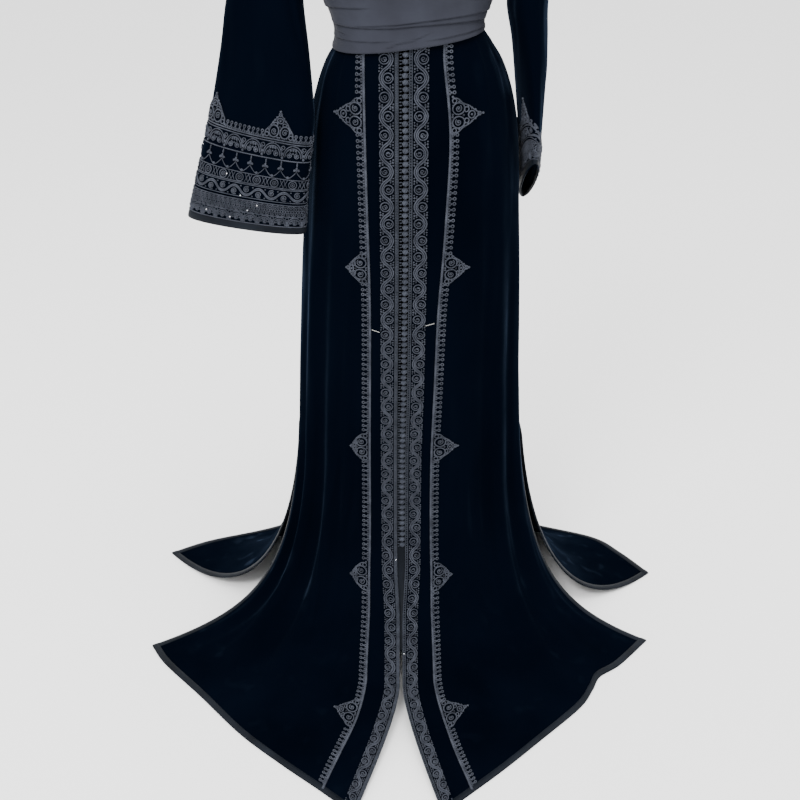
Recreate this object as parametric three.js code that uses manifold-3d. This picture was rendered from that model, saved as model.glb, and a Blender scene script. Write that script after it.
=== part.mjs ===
// A floor-length velvet caftan, standing open and hollow as it hangs on a wearer.
// Two front panels, one back panel, two bell sleeves, a pleated waist belt, braid and knot trim
// down the centre front, and a satin binding on the hems, the side slits and the cuffs.
// Units are millimetres. Tables give heights above the floor; the outer group then lowers the
// whole garment so that the part's origin is the middle of the shoulders, where a wearer holds it.
// x runs across the body (the wearer's left is +x), y runs from front (-) to back (+), z is up.
import * as THREE from "three";
import Module from "manifold-3d";

// ---- driving dimensions ----
const SHOULDER_HEIGHT = 1480; // origin above the floor
const VELVET = 1.8; // wall of the cloth
const SEAM_GAP = 0.3; // between two pieces that are sewn together
const CUFF_GAP = 0.5; // the same where a cuff's wall turns with the hand's opening
const ARMHOLE_GAP = 1.7; // the same round an armhole, where the two edges have different corners
const LIE_GAP = 0.8; // between a panel and a trim that lies on it
const MOTIF_GAP = 1.1; // the same for the wide motifs
const FLOOR_LIFT = 2.5; // outer face of cloth that lies on the floor
const SLIT_HEIGHT = 388; // top of the side slits
const BINDING = { width: 12, over: 0.7, under: 2.5 }; // satin edge: its width, and how far it stands past the cloth
const CORD = { width: 7, over: 1.5, under: 2.3 }; // flat braid along the front edges
const SCROLL = { start: 7.6, widthTop: 25.5, widthHem: 19.6, thick: 1.6, ridge: 1.4, pitchTop: 31, pitchHem: 25 };
const LACE = { width: 13, cord: 4.4, thick: 1.4, motifHalf: 28, overlap: 4 };
const KNOT = { pitch: 10.4, half: 7.2, height: 4.2, valley: 1.3, under: 1.8 };
const KNOT_END_ROW_HEIGHT = 202; // the lowest knot

const ARMHOLE = { x: 175, z: 1357.5, leanX: 13, halfHeight: 82.5, halfDepth: 42 };

// Rows of a front panel, shoulder seam first: the start of the row is on the neckline and then on the
// centre-front edge (x is measured from the centre-front line), the end is on the armhole and then on
// the side seam. round is the exponent of the row's rounded section.
const FRONT_ROWS = [
  { x: 84, y: 6, z: 1496, arm: 0, round: 2.0 },
  { x: 78, y: -38, z: 1462, arm: 48, round: 2.1 },
  { x: 58, y: -66, z: 1428, arm: 90, round: 2.2 },
  { x: 33, y: -83, z: 1407, arm: 132, round: 2.3 },
  { x: 7.5, y: -92, z: 1396, arm: 180, round: 2.4 },
  { x: 7.5, y: -109, z: 1345, sideX: 157, sideZ: 1238, round: 2.5 },
  { x: 7.5, y: -119, z: 1290, sideX: 149, sideZ: 1202, round: 2.5 },
  { x: 7.5, y: -113, z: 1236, sideX: 140, sideZ: 1172, round: 2.4 },
  { x: 7.5, y: -104, z: 1182, sideX: 128, sideZ: 1140, round: 2.3 },
  { x: 7.5, y: -98, z: 1132, sideX: 115, sideZ: 1106, round: 2.3 },
  { x: 7.5, y: -97, z: 1090, sideX: 123, sideZ: 1077, round: 2.3 },
  { x: 7.5, y: -108, z: 1047, sideX: 143, sideZ: 1045, round: 2.3 },
  { x: 7.5, y: -121, z: 1002, sideX: 159, sideZ: 1002, round: 2.3 },
  { x: 7.5, y: -132, z: 948, sideX: 171, sideZ: 948, round: 2.3 },
  { x: 7.5, y: -139, z: 880, sideX: 178, sideZ: 880, round: 2.3 },
  { x: 7.5, y: -141, z: 800, sideX: 182.5, sideZ: 800, round: 2.3 },
  { x: 7.5, y: -142, z: 710, sideX: 188, sideZ: 710, round: 2.3 },
  { x: 7.5, y: -142, z: 615, sideX: 192.5, sideZ: 615, round: 2.3 },
  { x: 7.5, y: -141, z: 510, sideX: 197, sideZ: 510, round: 2.3 },
  { x: 6.5, y: -141, z: SLIT_HEIGHT, sideX: 203, sideZ: SLIT_HEIGHT, round: 2.3 },
];

// Depth of the back at the centre, for the same rows.
const BACK_ROWS = [
  { y: 58, z: 1470 },
  { y: 76, z: 1436 },
  { y: 88, z: 1400 },
  { y: 95, z: 1360 },
  { y: 98, z: 1320 },
  { y: 97, z: 1282 },
  { y: 93, z: 1240 },
  { y: 88, z: 1200 },
  { y: 84, z: 1158 },
  { y: 82, z: 1118 },
  { y: 86, z: 1082 },
  { y: 101, z: 1044 },
  { y: 116, z: 1002 },
  { y: 127, z: 948 },
  { y: 132, z: 880 },
  { y: 131, z: 800 },
  { y: 130, z: 710 },
  { y: 130, z: 615 },
  { y: 131, z: 510 },
  { y: 132, z: SLIT_HEIGHT },
];
const BACK_NECK = { share: 0.42, x: 84, y: 6, dip: 26 }; // where the shoulder seam ends on the back's top row
const BACK_NECK_ROWS = 2.4; // rows over which the neckline's corners fade out

// Where the centre-front line and the middle of the body run, by height.
const LINES = [
  { z: 1500, front: 0, body: 0 },
  { z: 1180, front: -6, body: -3 },
  { z: 1105, front: -7, body: 0 },
  { z: 1075, front: -8, body: 9 },
  { z: 1000, front: -8, body: 9 },
  { z: 740, front: -8, body: 5 },
  { z: 510, front: -10, body: 2 },
  { z: SLIT_HEIGHT, front: -12, body: 2.5 },
];

// The sweep from the slit's height to the hem: share runs across the panel, x and y are the hem on the
// floor, knee is the height of the bend's upper handle, reach how far back towards the start the lower
// handle lies, and rise how high that handle is, which tilts the last stretch of cloth towards the floor.
const FRONT_SWEEP = {
  "-1": [
    { share: 0.0, x: -86, y: -614, knee: 40, reach: 0.66, rise: 32 },
    { share: 0.137, x: -144, y: -561, knee: 42, reach: 0.66, rise: 30 },
    { share: 0.296, x: -213, y: -501, knee: 50, reach: 0.66, rise: 26 },
    { share: 0.475, x: -288, y: -430, knee: 64, reach: 0.65, rise: 22 },
    { share: 0.694, x: -369, y: -334, knee: 84, reach: 0.62, rise: 15 },
    { share: 0.894, x: -445, y: -247, knee: 78, reach: 0.66, rise: 9 },
    { share: 1.0, x: -477, y: -195, knee: 70, reach: 0.69, rise: 6 },
  ],
  1: [
    { share: 0.0, x: 53, y: -612, knee: 40, reach: 0.66, rise: 32 },
    { share: 0.214, x: 151, y: -521, knee: 46, reach: 0.66, rise: 28 },
    { share: 0.393, x: 224, y: -447, knee: 60, reach: 0.65, rise: 23 },
    { share: 0.588, x: 302, y: -365, knee: 84, reach: 0.64, rise: 18 },
    { share: 0.684, x: 331, y: -317, knee: 100, reach: 0.63, rise: 15 },
    { share: 0.75, x: 348, y: -283, knee: 108, reach: 0.62, rise: 13 },
    { share: 0.84, x: 389, y: -250, knee: 100, reach: 0.64, rise: 10 },
    { share: 1.0, x: 449, y: -180, knee: 85, reach: 0.66, rise: 6 },
  ],
};
const BACK_SWEEP = [
  { share: -1.0, x: -487, y: 104, knee: 92, reach: 0.66, rise: 3 },
  { share: -0.843, x: -414, y: 148, knee: 118, reach: 0.62, rise: 6 },
  { share: -0.614, x: -296, y: 193, knee: 100, reach: 0.62, rise: 14 },
  { share: -0.325, x: -150, y: 268, knee: 70, reach: 0.6, rise: 20 },
  { share: -0.048, x: 0, y: 305, knee: 50, reach: 0.6, rise: 22 },
  { share: 0.227, x: 150, y: 272, knee: 70, reach: 0.6, rise: 20 },
  { share: 0.475, x: 276, y: 209, knee: 100, reach: 0.62, rise: 14 },
  { share: 0.703, x: 393, y: 160, knee: 125, reach: 0.62, rise: 10 },
  { share: 0.843, x: 443, y: 105, knee: 130, reach: 0.62, rise: 6 },
  { share: 1.0, x: 489, y: 34, knee: 100, reach: 0.66, rise: 3 },
];
// How far the slit's edges bow forwards near the floor, how far they part above that, and over what share.
const SLIT_BOW = { frontRight: -30, frontLeft: -22, back: -165, partFront: -42, partBack: 18, share: 0.32 };
// The left slit's back edge stands this far out past the front one, from a share of the sweep below its top.
const SLIT_STEP = { out: 5, from: 0.06 };
const SWEEP_LEAN = { right: 0.055, left: 0.09 }; // how soon each side starts to flare
// The front edges close up below the last knot and stay together until far down the sweep; this holds
// for the edge and fades out over a share of the panel.
const EDGE_HOLD = { from: 0.67, power: 1.45, share: 0.32, close: 4.6, closeFrom: 0.26, closeTo: 0.46 };

// How far the loop lace lies from the front edge on each panel, by row.
const LACE_LINE = [
  { row: 0, right: 54, left: 53 },
  { row: 10.4, right: 54, left: 53 },
  { row: 13, right: 52, left: 64 },
  { row: 15, right: 49, left: 58 },
  { row: 16.6, right: 46, left: 49 },
  { row: 19, right: 47, left: 45 },
  { row: 24, right: 49, left: 46 },
  { row: 28.2, right: 56, left: 53 },
  { row: 32.4, right: 61, left: 57 },
  { row: 35, right: 61, left: 59 },
  { row: 37, right: 67, left: 61 },
  { row: 39, right: 72, left: 67 },
];

// The pointed motifs: height above the floor, how far each reaches past the lace's cord, and its size
// along the edge. The last one lies on the floor, a length from the one before it.
const MOTIFS = [
  { height: 1300, right: 55, left: 55, size: 1.0 },
  { height: 985, right: 53, left: 55, size: 1.0 },
  { height: 736, right: 41, left: 47, size: 0.96 },
  { height: 398, right: 37, left: 47, size: 0.98 },
  { height: 149, right: 38, left: 40, size: 0.94 },
  { height: 0, right: 46, left: 50, size: 1.14 },
];
const MOTIF_ON_FLOOR = 285;
const MOTIF_LINE = 48; // distance from the front edge at which those heights are taken

// Soft folds: each runs from share a at row top to share b at row end and stands lift out of the cloth
// (a trough where lift is below 0), width being its half-width as a share of the panel.
const FRONT_FOLDS = {
  "-1": [
    { a: 0.4, b: 0.5, top: 14, end: 38, width: 0.05, lift: 8 },
    { a: 0.5, b: 0.61, top: 15, end: 37, width: 0.06, lift: -9 },
    { a: 0.62, b: 0.73, top: 13, end: 38, width: 0.06, lift: 8 },
    { a: 0.76, b: 0.84, top: 15, end: 37, width: 0.06, lift: -8 },
  ],
  1: [
    { a: 0.44, b: 0.46, top: 14, end: 37, width: 0.05, lift: -7 },
    { a: 0.56, b: 0.57, top: 13, end: 38, width: 0.06, lift: 7 },
    { a: 0.7, b: 0.7, top: 15, end: 37, width: 0.06, lift: -8 },
    { a: 0.84, b: 0.82, top: 14, end: 38, width: 0.06, lift: 6 },
  ],
};
const BACK_FOLDS = [
  { a: -0.74, b: -0.8, top: 13, end: 37, width: 0.05, lift: 8 },
  { a: -0.6, b: -0.66, top: 14, end: 37, width: 0.05, lift: -8 },
  { a: -0.44, b: -0.5, top: 12, end: 38, width: 0.05, lift: 9 },
  { a: -0.28, b: -0.34, top: 14, end: 37, width: 0.05, lift: -9 },
  { a: -0.1, b: -0.14, top: 12, end: 38, width: 0.05, lift: 8 },
  { a: 0.08, b: 0.06, top: 14, end: 37, width: 0.05, lift: -9 },
  { a: 0.24, b: 0.27, top: 12, end: 38, width: 0.05, lift: 9 },
  { a: 0.4, b: 0.46, top: 14, end: 37, width: 0.05, lift: -8 },
  { a: 0.56, b: 0.63, top: 13, end: 38, width: 0.05, lift: 8 },
  { a: 0.74, b: 0.8, top: 14, end: 37, width: 0.05, lift: -7 },
];

// A sleeve's rings from armhole to cuff: its outer and inner edge seen from the front, the middle and half
// of its depth, how far its front hangs above its back, and how far the inner edge lies forward of the outer.
const SLEEVE_RINGS = {
  "-1": [
    { outX: 188, outZ: 1440, inX: 162, inZ: 1275, y: 0, depth: 42, slant: 0, turn: 0, round: 2.0 },
    { outX: 209, outZ: 1402, inX: 164, inZ: 1259, y: -1, depth: 47, slant: 0, turn: 0, round: 2.1 },
    { outX: 230, outZ: 1340, inX: 165, inZ: 1240, y: -3, depth: 48, slant: 0, turn: 0, round: 2.2 },
    { outX: 249, outZ: 1268, inX: 165, inZ: 1212, y: -6, depth: 46, slant: 0, turn: 0, round: 2.2 },
    { outX: 267, outZ: 1205, inX: 164, inZ: 1178, y: -11, depth: 44, slant: 0, turn: 2, round: 2.2 },
    { outX: 287, outZ: 1145, inX: 165, inZ: 1138, y: -18, depth: 42, slant: 0, turn: 6, round: 2.2 },
    { outX: 300, outZ: 1070, inX: 156, inZ: 1064, y: -40, depth: 39, slant: 0, turn: 18, round: 2.2 },
    { outX: 318, outZ: 985, inX: 149, inZ: 978, y: -62, depth: 36, slant: 0, turn: 30, round: 2.2 },
    { outX: 327, outZ: 949, inX: 153, inZ: 941, y: -70, depth: 34, slant: 0, turn: 31, round: 2.2 },
    { outX: 347, outZ: 874, inX: 163, inZ: 863, y: -80, depth: 31, slant: 0, turn: 29, round: 2.2 },
    { outX: 367, outZ: 800, inX: 168, inZ: 790, y: -86, depth: 28, slant: 0, turn: 26, round: 2.2 },
  ],
  1: [
    { outX: 188, outZ: 1440, inX: 162, inZ: 1275, y: 0, depth: 42, slant: 0, turn: 0, round: 2.0 },
    { outX: 207, outZ: 1402, inX: 164, inZ: 1259, y: -1, depth: 47, slant: 0, turn: 0, round: 2.1 },
    { outX: 222, outZ: 1340, inX: 163, inZ: 1236, y: -1, depth: 50, slant: 0, turn: 0, round: 2.2 },
    { outX: 230, outZ: 1268, inX: 161, inZ: 1206, y: 0, depth: 52, slant: 0, turn: 0, round: 2.2 },
    { outX: 229, outZ: 1205, inX: 158, inZ: 1172, y: 2, depth: 54, slant: 2, turn: 0, round: 2.2 },
    { outX: 221, outZ: 1140, inX: 156, inZ: 1130, y: 4, depth: 57, slant: 6, turn: 0, round: 2.2 },
    { outX: 222, outZ: 1082, inX: 166, inZ: 1080, y: 6, depth: 62, slant: 16, turn: 0, round: 2.2 },
    { outX: 223, outZ: 1024, inX: 174, inZ: 1022, y: 6, depth: 68, slant: 34, turn: 0, round: 2.2 },
    { outX: 222, outZ: 985, inX: 179, inZ: 983, y: 6, depth: 73, slant: 44, turn: 0, round: 2.2 },
    { outX: 220, outZ: 912, inX: 188, inZ: 910, y: 6, depth: 81, slant: 52, turn: 0, round: 2.2 },
    { outX: 217, outZ: 838, inX: 193, inZ: 836, y: 6, depth: 88, slant: 58, turn: 0, round: 2.2 },
  ],
};
// The worked band lies between the cuff's binding and the ring this many rings above the hem;
// its upper edge rises into spires that reach a share of the way to the next ring. On the left cuff, whose
// outer side is turned under, the upper edge falls by a share of the band's height there.
const CUFF_LACE = {
  thick: 1.4,
  rings: { "-1": 2, 1: 1 },
  spires: 4,
  reach: { "-1": 0.85, 1: 0.7 },
  turn: { "-1": -0.07, 1: -0.1 },
  fall: { "-1": 0, 1: 0.66 },
};

// The belt, from its lower edge up: height share, how far each pleat's fold stands out of the plain band.
const BELT = { low: 1084, tiltX: 0.126, tall: 112, gapSide: 3.4, gapFront: 7, thick: 1.6 };
const BELT_PLEATS = [
  { share: 0.0, out: 0.6 },
  { share: 0.03, out: 3.0 },
  { share: 0.17, out: 2.6 },
  { share: 0.2, out: 0.4 },
  { share: 0.24, out: 3.2 },
  { share: 0.37, out: 2.4 },
  { share: 0.4, out: 0.4 },
  { share: 0.44, out: 3.0 },
  { share: 0.57, out: 2.6 },
  { share: 0.6, out: 0.4 },
  { share: 0.64, out: 3.2 },
  { share: 0.78, out: 2.4 },
  { share: 0.82, out: 0.5 },
  { share: 0.86, out: 2.8 },
  { share: 1.0, out: 1.0 },
];

// ---- meshing steps ----
const UPPER_ROWS = [0, 0.5, 1, 1.5, 2, 2.5, 3, 3.5, 4, 5, 6.5, 8, 9, 10, 11, 12, 13, 14.5, 16, 17.5, 19]; // rows of the tables above
const SWEEP_STEPS = [0.08, 0.17, 0.26, 0.34, 0.41, 0.48, 0.55, 0.62, 0.69, 0.77, 0.86, 0.94]; // shares of the sweep
const SWEEP_ROWS = 20; // how many row numbers the sweep spans
const FRONT_COLUMNS = [20, 33]; // distances from the front edge, then the lace line
const LACE_COLUMNS = [0, 15]; // distances from the lace line
const FRONT_SHARES = [0.13, 0.27, 0.41, 0.55, 0.69, 0.83]; // then shares of what is left, up to the side
const BACK_COLUMNS = 18;
const SLEEVE_SIDES = 18;
const BELT_SIDES = 32;
const FINE = 48; // samples used to measure along a row
const STEP = 0.004; // step of the numerical normals

const LAST_ROW = FRONT_ROWS.length - 1;
const HEM_ROW = LAST_ROW + SWEEP_ROWS;

// ---- curves through tables ----
const clamp = (value, low, high) => Math.min(high, Math.max(low, value));
const mix = (a, b, t) => a + (b - a) * t;
const smooth = (t) => t * t * (3 - 2 * t);

// A smooth curve through four neighbouring values, at t between the middle two.
function spline(p0, p1, p2, p3, t) {
  const a = 2 * p1;
  const b = p2 - p0;
  const c = 2 * p0 - 5 * p1 + 4 * p2 - p3;
  const d = 3 * p1 - p0 - 3 * p2 + p3;
  return 0.5 * (a + b * t + c * t * t + d * t * t * t);
}

// One column of a table, read at a fractional row.
function column(table, name, row) {
  const last = table.length - 1;
  const i = clamp(Math.floor(row), 0, last - 1);
  const at = (k) => table[clamp(k, 0, last)][name];
  return spline(at(i - 1), at(i), at(i + 1), at(i + 2), row - i);
}

// The fractional row at which a table's key reaches a value; keys rise or fall all the way.
function rowOf(table, key, value) {
  const rising = table[table.length - 1][key] > table[0][key];
  let i = 0;
  while (i < table.length - 2 && (rising ? table[i + 1][key] < value : table[i + 1][key] > value)) i += 1;
  return i + clamp((value - table[i][key]) / (table[i + 1][key] - table[i][key]), 0, 1);
}

function lineAt(name, height) {
  const row = rowOf(LINES, "z", height);
  const i = Math.min(Math.floor(row), LINES.length - 2);
  return mix(LINES[i][name], LINES[i + 1][name], row - i);
}

// ---- the cloth as surfaces: share runs across a panel, row runs down it ----
function armholePoint(side, degrees, facing) {
  const a = THREE.MathUtils.degToRad(degrees);
  return new THREE.Vector3(
    side * (ARMHOLE.x + ARMHOLE.leanX * Math.cos(a)),
    facing * ARMHOLE.halfDepth * Math.sin(a),
    ARMHOLE.z + ARMHOLE.halfHeight * Math.cos(a),
  );
}

// The outer end of a row: on the armhole above the underarm, and on the side seam below it.
function sideEnd(side, row, facing) {
  const underarm = FRONT_ROWS.findIndex((r) => r.arm === 180);
  if (row <= underarm) {
    const arms = FRONT_ROWS.slice(0, underarm + 1);
    return armholePoint(side, clamp(column(arms, "arm", row), 0, 180), facing);
  }
  const below = FRONT_ROWS.slice(underarm).map((r) => ({
    x: r.sideX ?? ARMHOLE.x - ARMHOLE.leanX,
    z: r.sideZ ?? ARMHOLE.z - ARMHOLE.halfHeight,
  }));
  const z = column(below, "z", row - underarm);
  return new THREE.Vector3(lineAt("body", z) + side * column(below, "x", row - underarm), 0, z);
}

function rounded(start, end, round, share) {
  const angle = clamp(share, 0, 1) * (Math.PI / 2);
  const power = 2 / round;
  return new THREE.Vector3(
    mix(start.x, end.x, Math.sin(angle) ** power),
    mix(end.y, start.y, Math.max(0, Math.cos(angle)) ** power),
    mix(start.z, end.z, share),
  );
}

function frontUpper(side, share, row) {
  const z = column(FRONT_ROWS, "z", row);
  const start = new THREE.Vector3(
    lineAt("front", z) + side * column(FRONT_ROWS, "x", row),
    column(FRONT_ROWS, "y", row),
    z,
  );
  return rounded(start, sideEnd(side, row, -1), column(FRONT_ROWS, "round", row), share);
}

// The back's top row: two shoulder seams, and the neckline between them.
function backTop(share) {
  const side = share < 0 ? -1 : 1;
  const across = Math.abs(share);
  if (across < BACK_NECK.share) {
    const angle = (across / BACK_NECK.share) * (Math.PI / 2);
    return new THREE.Vector3(
      side * BACK_NECK.x * Math.sin(angle),
      mix(BACK_NECK.y, BACK_ROWS[0].y, Math.cos(angle)),
      FRONT_ROWS[0].z - BACK_NECK.dip * Math.cos(angle),
    );
  }
  const neck = new THREE.Vector3(side * BACK_NECK.x, BACK_NECK.y, FRONT_ROWS[0].z);
  return neck.lerp(armholePoint(side, 0, 1), (across - BACK_NECK.share) / (1 - BACK_NECK.share));
}

function backUpper(share, row) {
  const side = share < 0 ? -1 : 1;
  const z = column(BACK_ROWS, "z", row);
  const start = new THREE.Vector3(lineAt("body", z), column(BACK_ROWS, "y", row), z);
  const plain = rounded(start, sideEnd(side, row, 1), column(FRONT_ROWS, "round", row), Math.abs(share));
  const fade = smooth(clamp(row / BACK_NECK_ROWS, 0, 1));
  return fade < 1 ? backTop(share).lerp(plain, fade) : plain;
}

// The lower part of a guide line: straight down from the slit's height, round, and out along the floor.
function sweep(start, table, share, t, bow, part, side) {
  const row = rowOf(table, "share", share);
  const hem = new THREE.Vector3(column(table, "x", row), column(table, "y", row), FLOOR_LIFT);
  const lean = start.x > 0 ? SWEEP_LEAN.left : SWEEP_LEAN.right;
  const knee = new THREE.Vector3(
    mix(start.x, hem.x, lean * Math.abs(share)),
    start.y + part,
    column(table, "knee", row),
  );
  const reach = column(table, "reach", row);
  const low = new THREE.Vector3(
    mix(hem.x, start.x, reach),
    mix(hem.y, start.y, reach) + bow,
    FLOOR_LIFT + column(table, "rise", row),
  );
  const point = new THREE.CubicBezierCurve3(start, knee, low, hem).getPoint(t);
  const hold = side ? clamp(1 - share / EDGE_HOLD.share, 0, 1) ** 2 : 0;
  if (hold > 0) {
    const open = Math.max(0, (t - EDGE_HOLD.from) / (1 - EDGE_HOLD.from)) ** EDGE_HOLD.power;
    const closing = clamp((t - EDGE_HOLD.closeFrom) / (EDGE_HOLD.closeTo - EDGE_HOLD.closeFrom), 0, 1);
    const held = mix(start.x - side * EDGE_HOLD.close * smooth(closing), hem.x, open);
    point.x = mix(point.x, held, hold);
  }
  return point;
}

// 0 away from the slit, 1 on it.
const slitShare = (share) => smooth(clamp((Math.abs(share) - 1 + SLIT_BOW.share) / SLIT_BOW.share, 0, 1));

function frontBase(side, share, row) {
  if (row <= LAST_ROW) return frontUpper(side, share, row);
  const t = (row - LAST_ROW) / SWEEP_ROWS;
  const near = slitShare(share);
  const start = frontUpper(side, share, LAST_ROW);
  const bow = side < 0 ? SLIT_BOW.frontRight : SLIT_BOW.frontLeft;
  return sweep(start, FRONT_SWEEP[side], share, t, bow * near, SLIT_BOW.partFront * near, side);
}

function backBase(share, row) {
  if (row <= LAST_ROW) return backUpper(share, row);
  const t = (row - LAST_ROW) / SWEEP_ROWS;
  const near = slitShare(share);
  const start = backUpper(share, LAST_ROW);
  const point = sweep(start, BACK_SWEEP, share, t, SLIT_BOW.back * near, SLIT_BOW.partBack * near, 0);
  if (share > 0) point.x += SLIT_STEP.out * near * smooth(clamp(t / SLIT_STEP.from, 0, 1)) * (1 - t);
  return point;
}

function normalOf(surface, share, row, low) {
  const s0 = clamp(share, low + STEP, 1 - STEP);
  const r0 = clamp(row, STEP, HEM_ROW - STEP);
  const across = surface(s0 + STEP, r0).sub(surface(s0 - STEP, r0));
  const down = surface(s0, r0 + STEP).sub(surface(s0, r0 - STEP));
  return across.cross(down).normalize();
}

function foldLift(folds, share, row) {
  let lift = 0;
  for (const fold of folds) {
    const along = clamp((row - fold.top) / (fold.end - fold.top), 0, 1);
    const fade = Math.sin(Math.PI * along ** 0.8) ** 0.75;
    const off = (share - mix(fold.a, fold.b, along)) / fold.width;
    if (along > 0 && along < 1) lift += fold.lift * fade * Math.exp(-off * off);
  }
  return lift;
}

// A surface with its folds. turn is +1 or -1 and makes the normal face out of the garment.
function clothSurface(base, folds, turn, low) {
  return (share, row) => {
    const out = normalOf(base, share, row, low).multiplyScalar(turn);
    const point = base(share, row).addScaledVector(out, foldLift(folds, share, row));
    point.z = Math.max(point.z, FLOOR_LIFT);
    return point;
  };
}

// ---- a panel: a grid of outer points and normals ----
class Panel {
  // lines lists, for every row, the distances from the row's start at which points stand
  constructor(surface, turn, low, rows, linesOf) {
    this.rows = rows;
    this.low = low;
    this.grid = rows.map((row) => {
      const shares = [];
      const lengths = [0];
      let before = null;
      for (let k = 0; k <= FINE; k += 1) {
        const share = mix(low, 1, k / FINE);
        const point = surface(share, row);
        shares.push(share);
        if (before) lengths.push(lengths[k - 1] + point.distanceTo(before));
        before = point;
      }
      const total = lengths[FINE];
      return linesOf(total, row).map((distance) => {
        let k = 1;
        while (k < FINE && lengths[k] < distance) k += 1;
        const share = mix(shares[k - 1], shares[k], (distance - lengths[k - 1]) / (lengths[k] - lengths[k - 1]));
        const point = surface(share, row);
        const normal = normalOf(surface, share, row, low).multiplyScalar(turn);
        return { point, normal, distance, total };
      });
    });
  }

  // A point on row i of the grid, a distance from the row's start, measured along the grid's own facets.
  onRow(i, distance) {
    const cells = this.grid[i];
    let j = 1;
    while (j < cells.length - 1 && cells[j].distance < distance) j += 1;
    const [a, b] = [cells[j - 1], cells[j]];
    const t = (distance - a.distance) / (b.distance - a.distance);
    return {
      point: a.point.clone().lerp(b.point, t),
      normal: a.normal.clone().lerp(b.normal, t).normalize(),
    };
  }

  // A point between rows; position is a fractional index into the panel's rows.
  at(position, distance) {
    const i = clamp(Math.floor(position), 0, this.rows.length - 2);
    const a = this.onRow(i, distance);
    const b = this.onRow(i + 1, distance);
    const t = position - i;
    return { point: a.point.lerp(b.point, t), normal: a.normal.lerp(b.normal, t).normalize() };
  }

  // The fractional index of a table row.
  positionOf(row) {
    let i = 0;
    while (i < this.rows.length - 2 && this.rows[i + 1] < row) i += 1;
    return i + (row - this.rows[i]) / (this.rows[i + 1] - this.rows[i]);
  }

  length(i) {
    return this.grid[i][0].total;
  }
}

// ---- solids ----
function solid(positions, faces, flip) {
  const geometry = new THREE.BufferGeometry();
  geometry.setAttribute("position", new THREE.Float32BufferAttribute(positions.flatMap((p) => p.toArray()), 3));
  geometry.setIndex(faces.flatMap((f) => (flip ? [f[0], f[2], f[1]] : f)));
  geometry.computeVertexNormals();
  return geometry;
}

// A wall with a grid of outer points and a grid of inner points. Rows may close into rings.
function wall(outer, inner, ring, flip) {
  const rows = outer.length;
  const columns = outer[0].length;
  const positions = [...outer.flat(), ...inner.flat()];
  const back = rows * columns;
  const id = (i, j) => i * columns + (j % columns);
  const faces = [];
  const quad = (a, b, c, d) => faces.push([a, b, c], [a, c, d]);
  const lastColumn = ring ? columns : columns - 1;
  for (let i = 0; i < rows - 1; i += 1) {
    for (let j = 0; j < lastColumn; j += 1) {
      quad(id(i, j), id(i + 1, j), id(i + 1, j + 1), id(i, j + 1));
      quad(back + id(i, j), back + id(i, j + 1), back + id(i + 1, j + 1), back + id(i + 1, j));
    }
    if (!ring) {
      quad(id(i, 0), back + id(i, 0), back + id(i + 1, 0), id(i + 1, 0));
      const j = columns - 1;
      quad(id(i, j), id(i + 1, j), back + id(i + 1, j), back + id(i, j));
    }
  }
  for (let j = 0; j < lastColumn; j += 1) {
    quad(id(0, j), id(0, j + 1), back + id(0, j + 1), back + id(0, j));
    const i = rows - 1;
    quad(id(i, j), back + id(i, j), back + id(i, j + 1), id(i, j + 1));
  }
  return solid(positions, faces, flip);
}

// A bar swept through sections that all have the same number of points, with flat ends.
function bar(sections, closed, flip) {
  const size = sections[0].length;
  const faces = [];
  const count = closed ? sections.length : sections.length - 1;
  for (let i = 0; i < count; i += 1) {
    const next = (i + 1) % sections.length;
    for (let j = 0; j < size; j += 1) {
      const [a, b] = [i * size + j, i * size + ((j + 1) % size)];
      const [c, d] = [next * size + ((j + 1) % size), next * size + j];
      faces.push([a, b, c], [a, c, d]);
    }
  }
  if (!closed) {
    const end = (sections.length - 1) * size;
    for (let j = 1; j < size - 1; j += 1) {
      faces.push([0, j + 1, j], [end, end + j, end + j + 1]);
    }
  }
  return solid(sections.flat(), faces, flip);
}

// Several closed bodies that overlap, joined into one.
const wasm = await Module();
wasm.setup();
function joined(geometries) {
  const bodies = geometries.map((geometry) => {
    const mesh = new wasm.Mesh({
      numProp: 3,
      vertProperties: geometry.getAttribute("position").array,
      triVerts: new Uint32Array(geometry.index.array),
    });
    return new wasm.Manifold(mesh);
  });
  const mesh = wasm.Manifold.union(bodies).getMesh();
  const geometry = new THREE.BufferGeometry();
  geometry.setAttribute("position", new THREE.BufferAttribute(mesh.vertProperties, 3));
  geometry.setIndex(new THREE.BufferAttribute(mesh.triVerts, 1));
  geometry.computeVertexNormals();
  return geometry;
}

const raised = (cell, height) => cell.point.clone().addScaledVector(cell.normal, height);

const COLOURS = { velvet: 0x05070c, satin: 0x2b2e3a, braid: 0x3d404b, belt: 0x3c404d };
function material(name, roughness) {
  return new THREE.MeshStandardMaterial({ color: COLOURS[name], roughness, metalness: 0 });
}
const VELVET_LOOK = material("velvet", 0.95);
const SATIN_LOOK = material("satin", 0.55);
const BRAID_LOOK = material("braid", 0.75);
const BELT_LOOK = material("belt", 0.65);

const garment = new THREE.Group();
garment.position.z = -SHOULDER_HEIGHT;
function add(name, geometry, look) {
  const mesh = new THREE.Mesh(geometry, look);
  mesh.name = name;
  garment.add(mesh);
}

// ---- the panels ----
const sweepRows = SWEEP_STEPS.map((t) => LAST_ROW + t * SWEEP_ROWS);
const PANEL_ROWS = [...UPPER_ROWS, ...sweepRows, HEM_ROW];

// Width taken off a row's end: half a seam above the slit, and the binding below it.
const slitInset = (row) => (row <= LAST_ROW ? SEAM_GAP / 2 : BINDING.width + SEAM_GAP);

function laceLine(side, row) {
  const name = side < 0 ? "right" : "left";
  let k = 1;
  while (k < LACE_LINE.length - 1 && LACE_LINE[k].row < row) k += 1;
  const [a, b] = [LACE_LINE[k - 1], LACE_LINE[k]];
  return mix(a[name], b[name], clamp((row - a.row) / (b.row - a.row), 0, 1));
}

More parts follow.
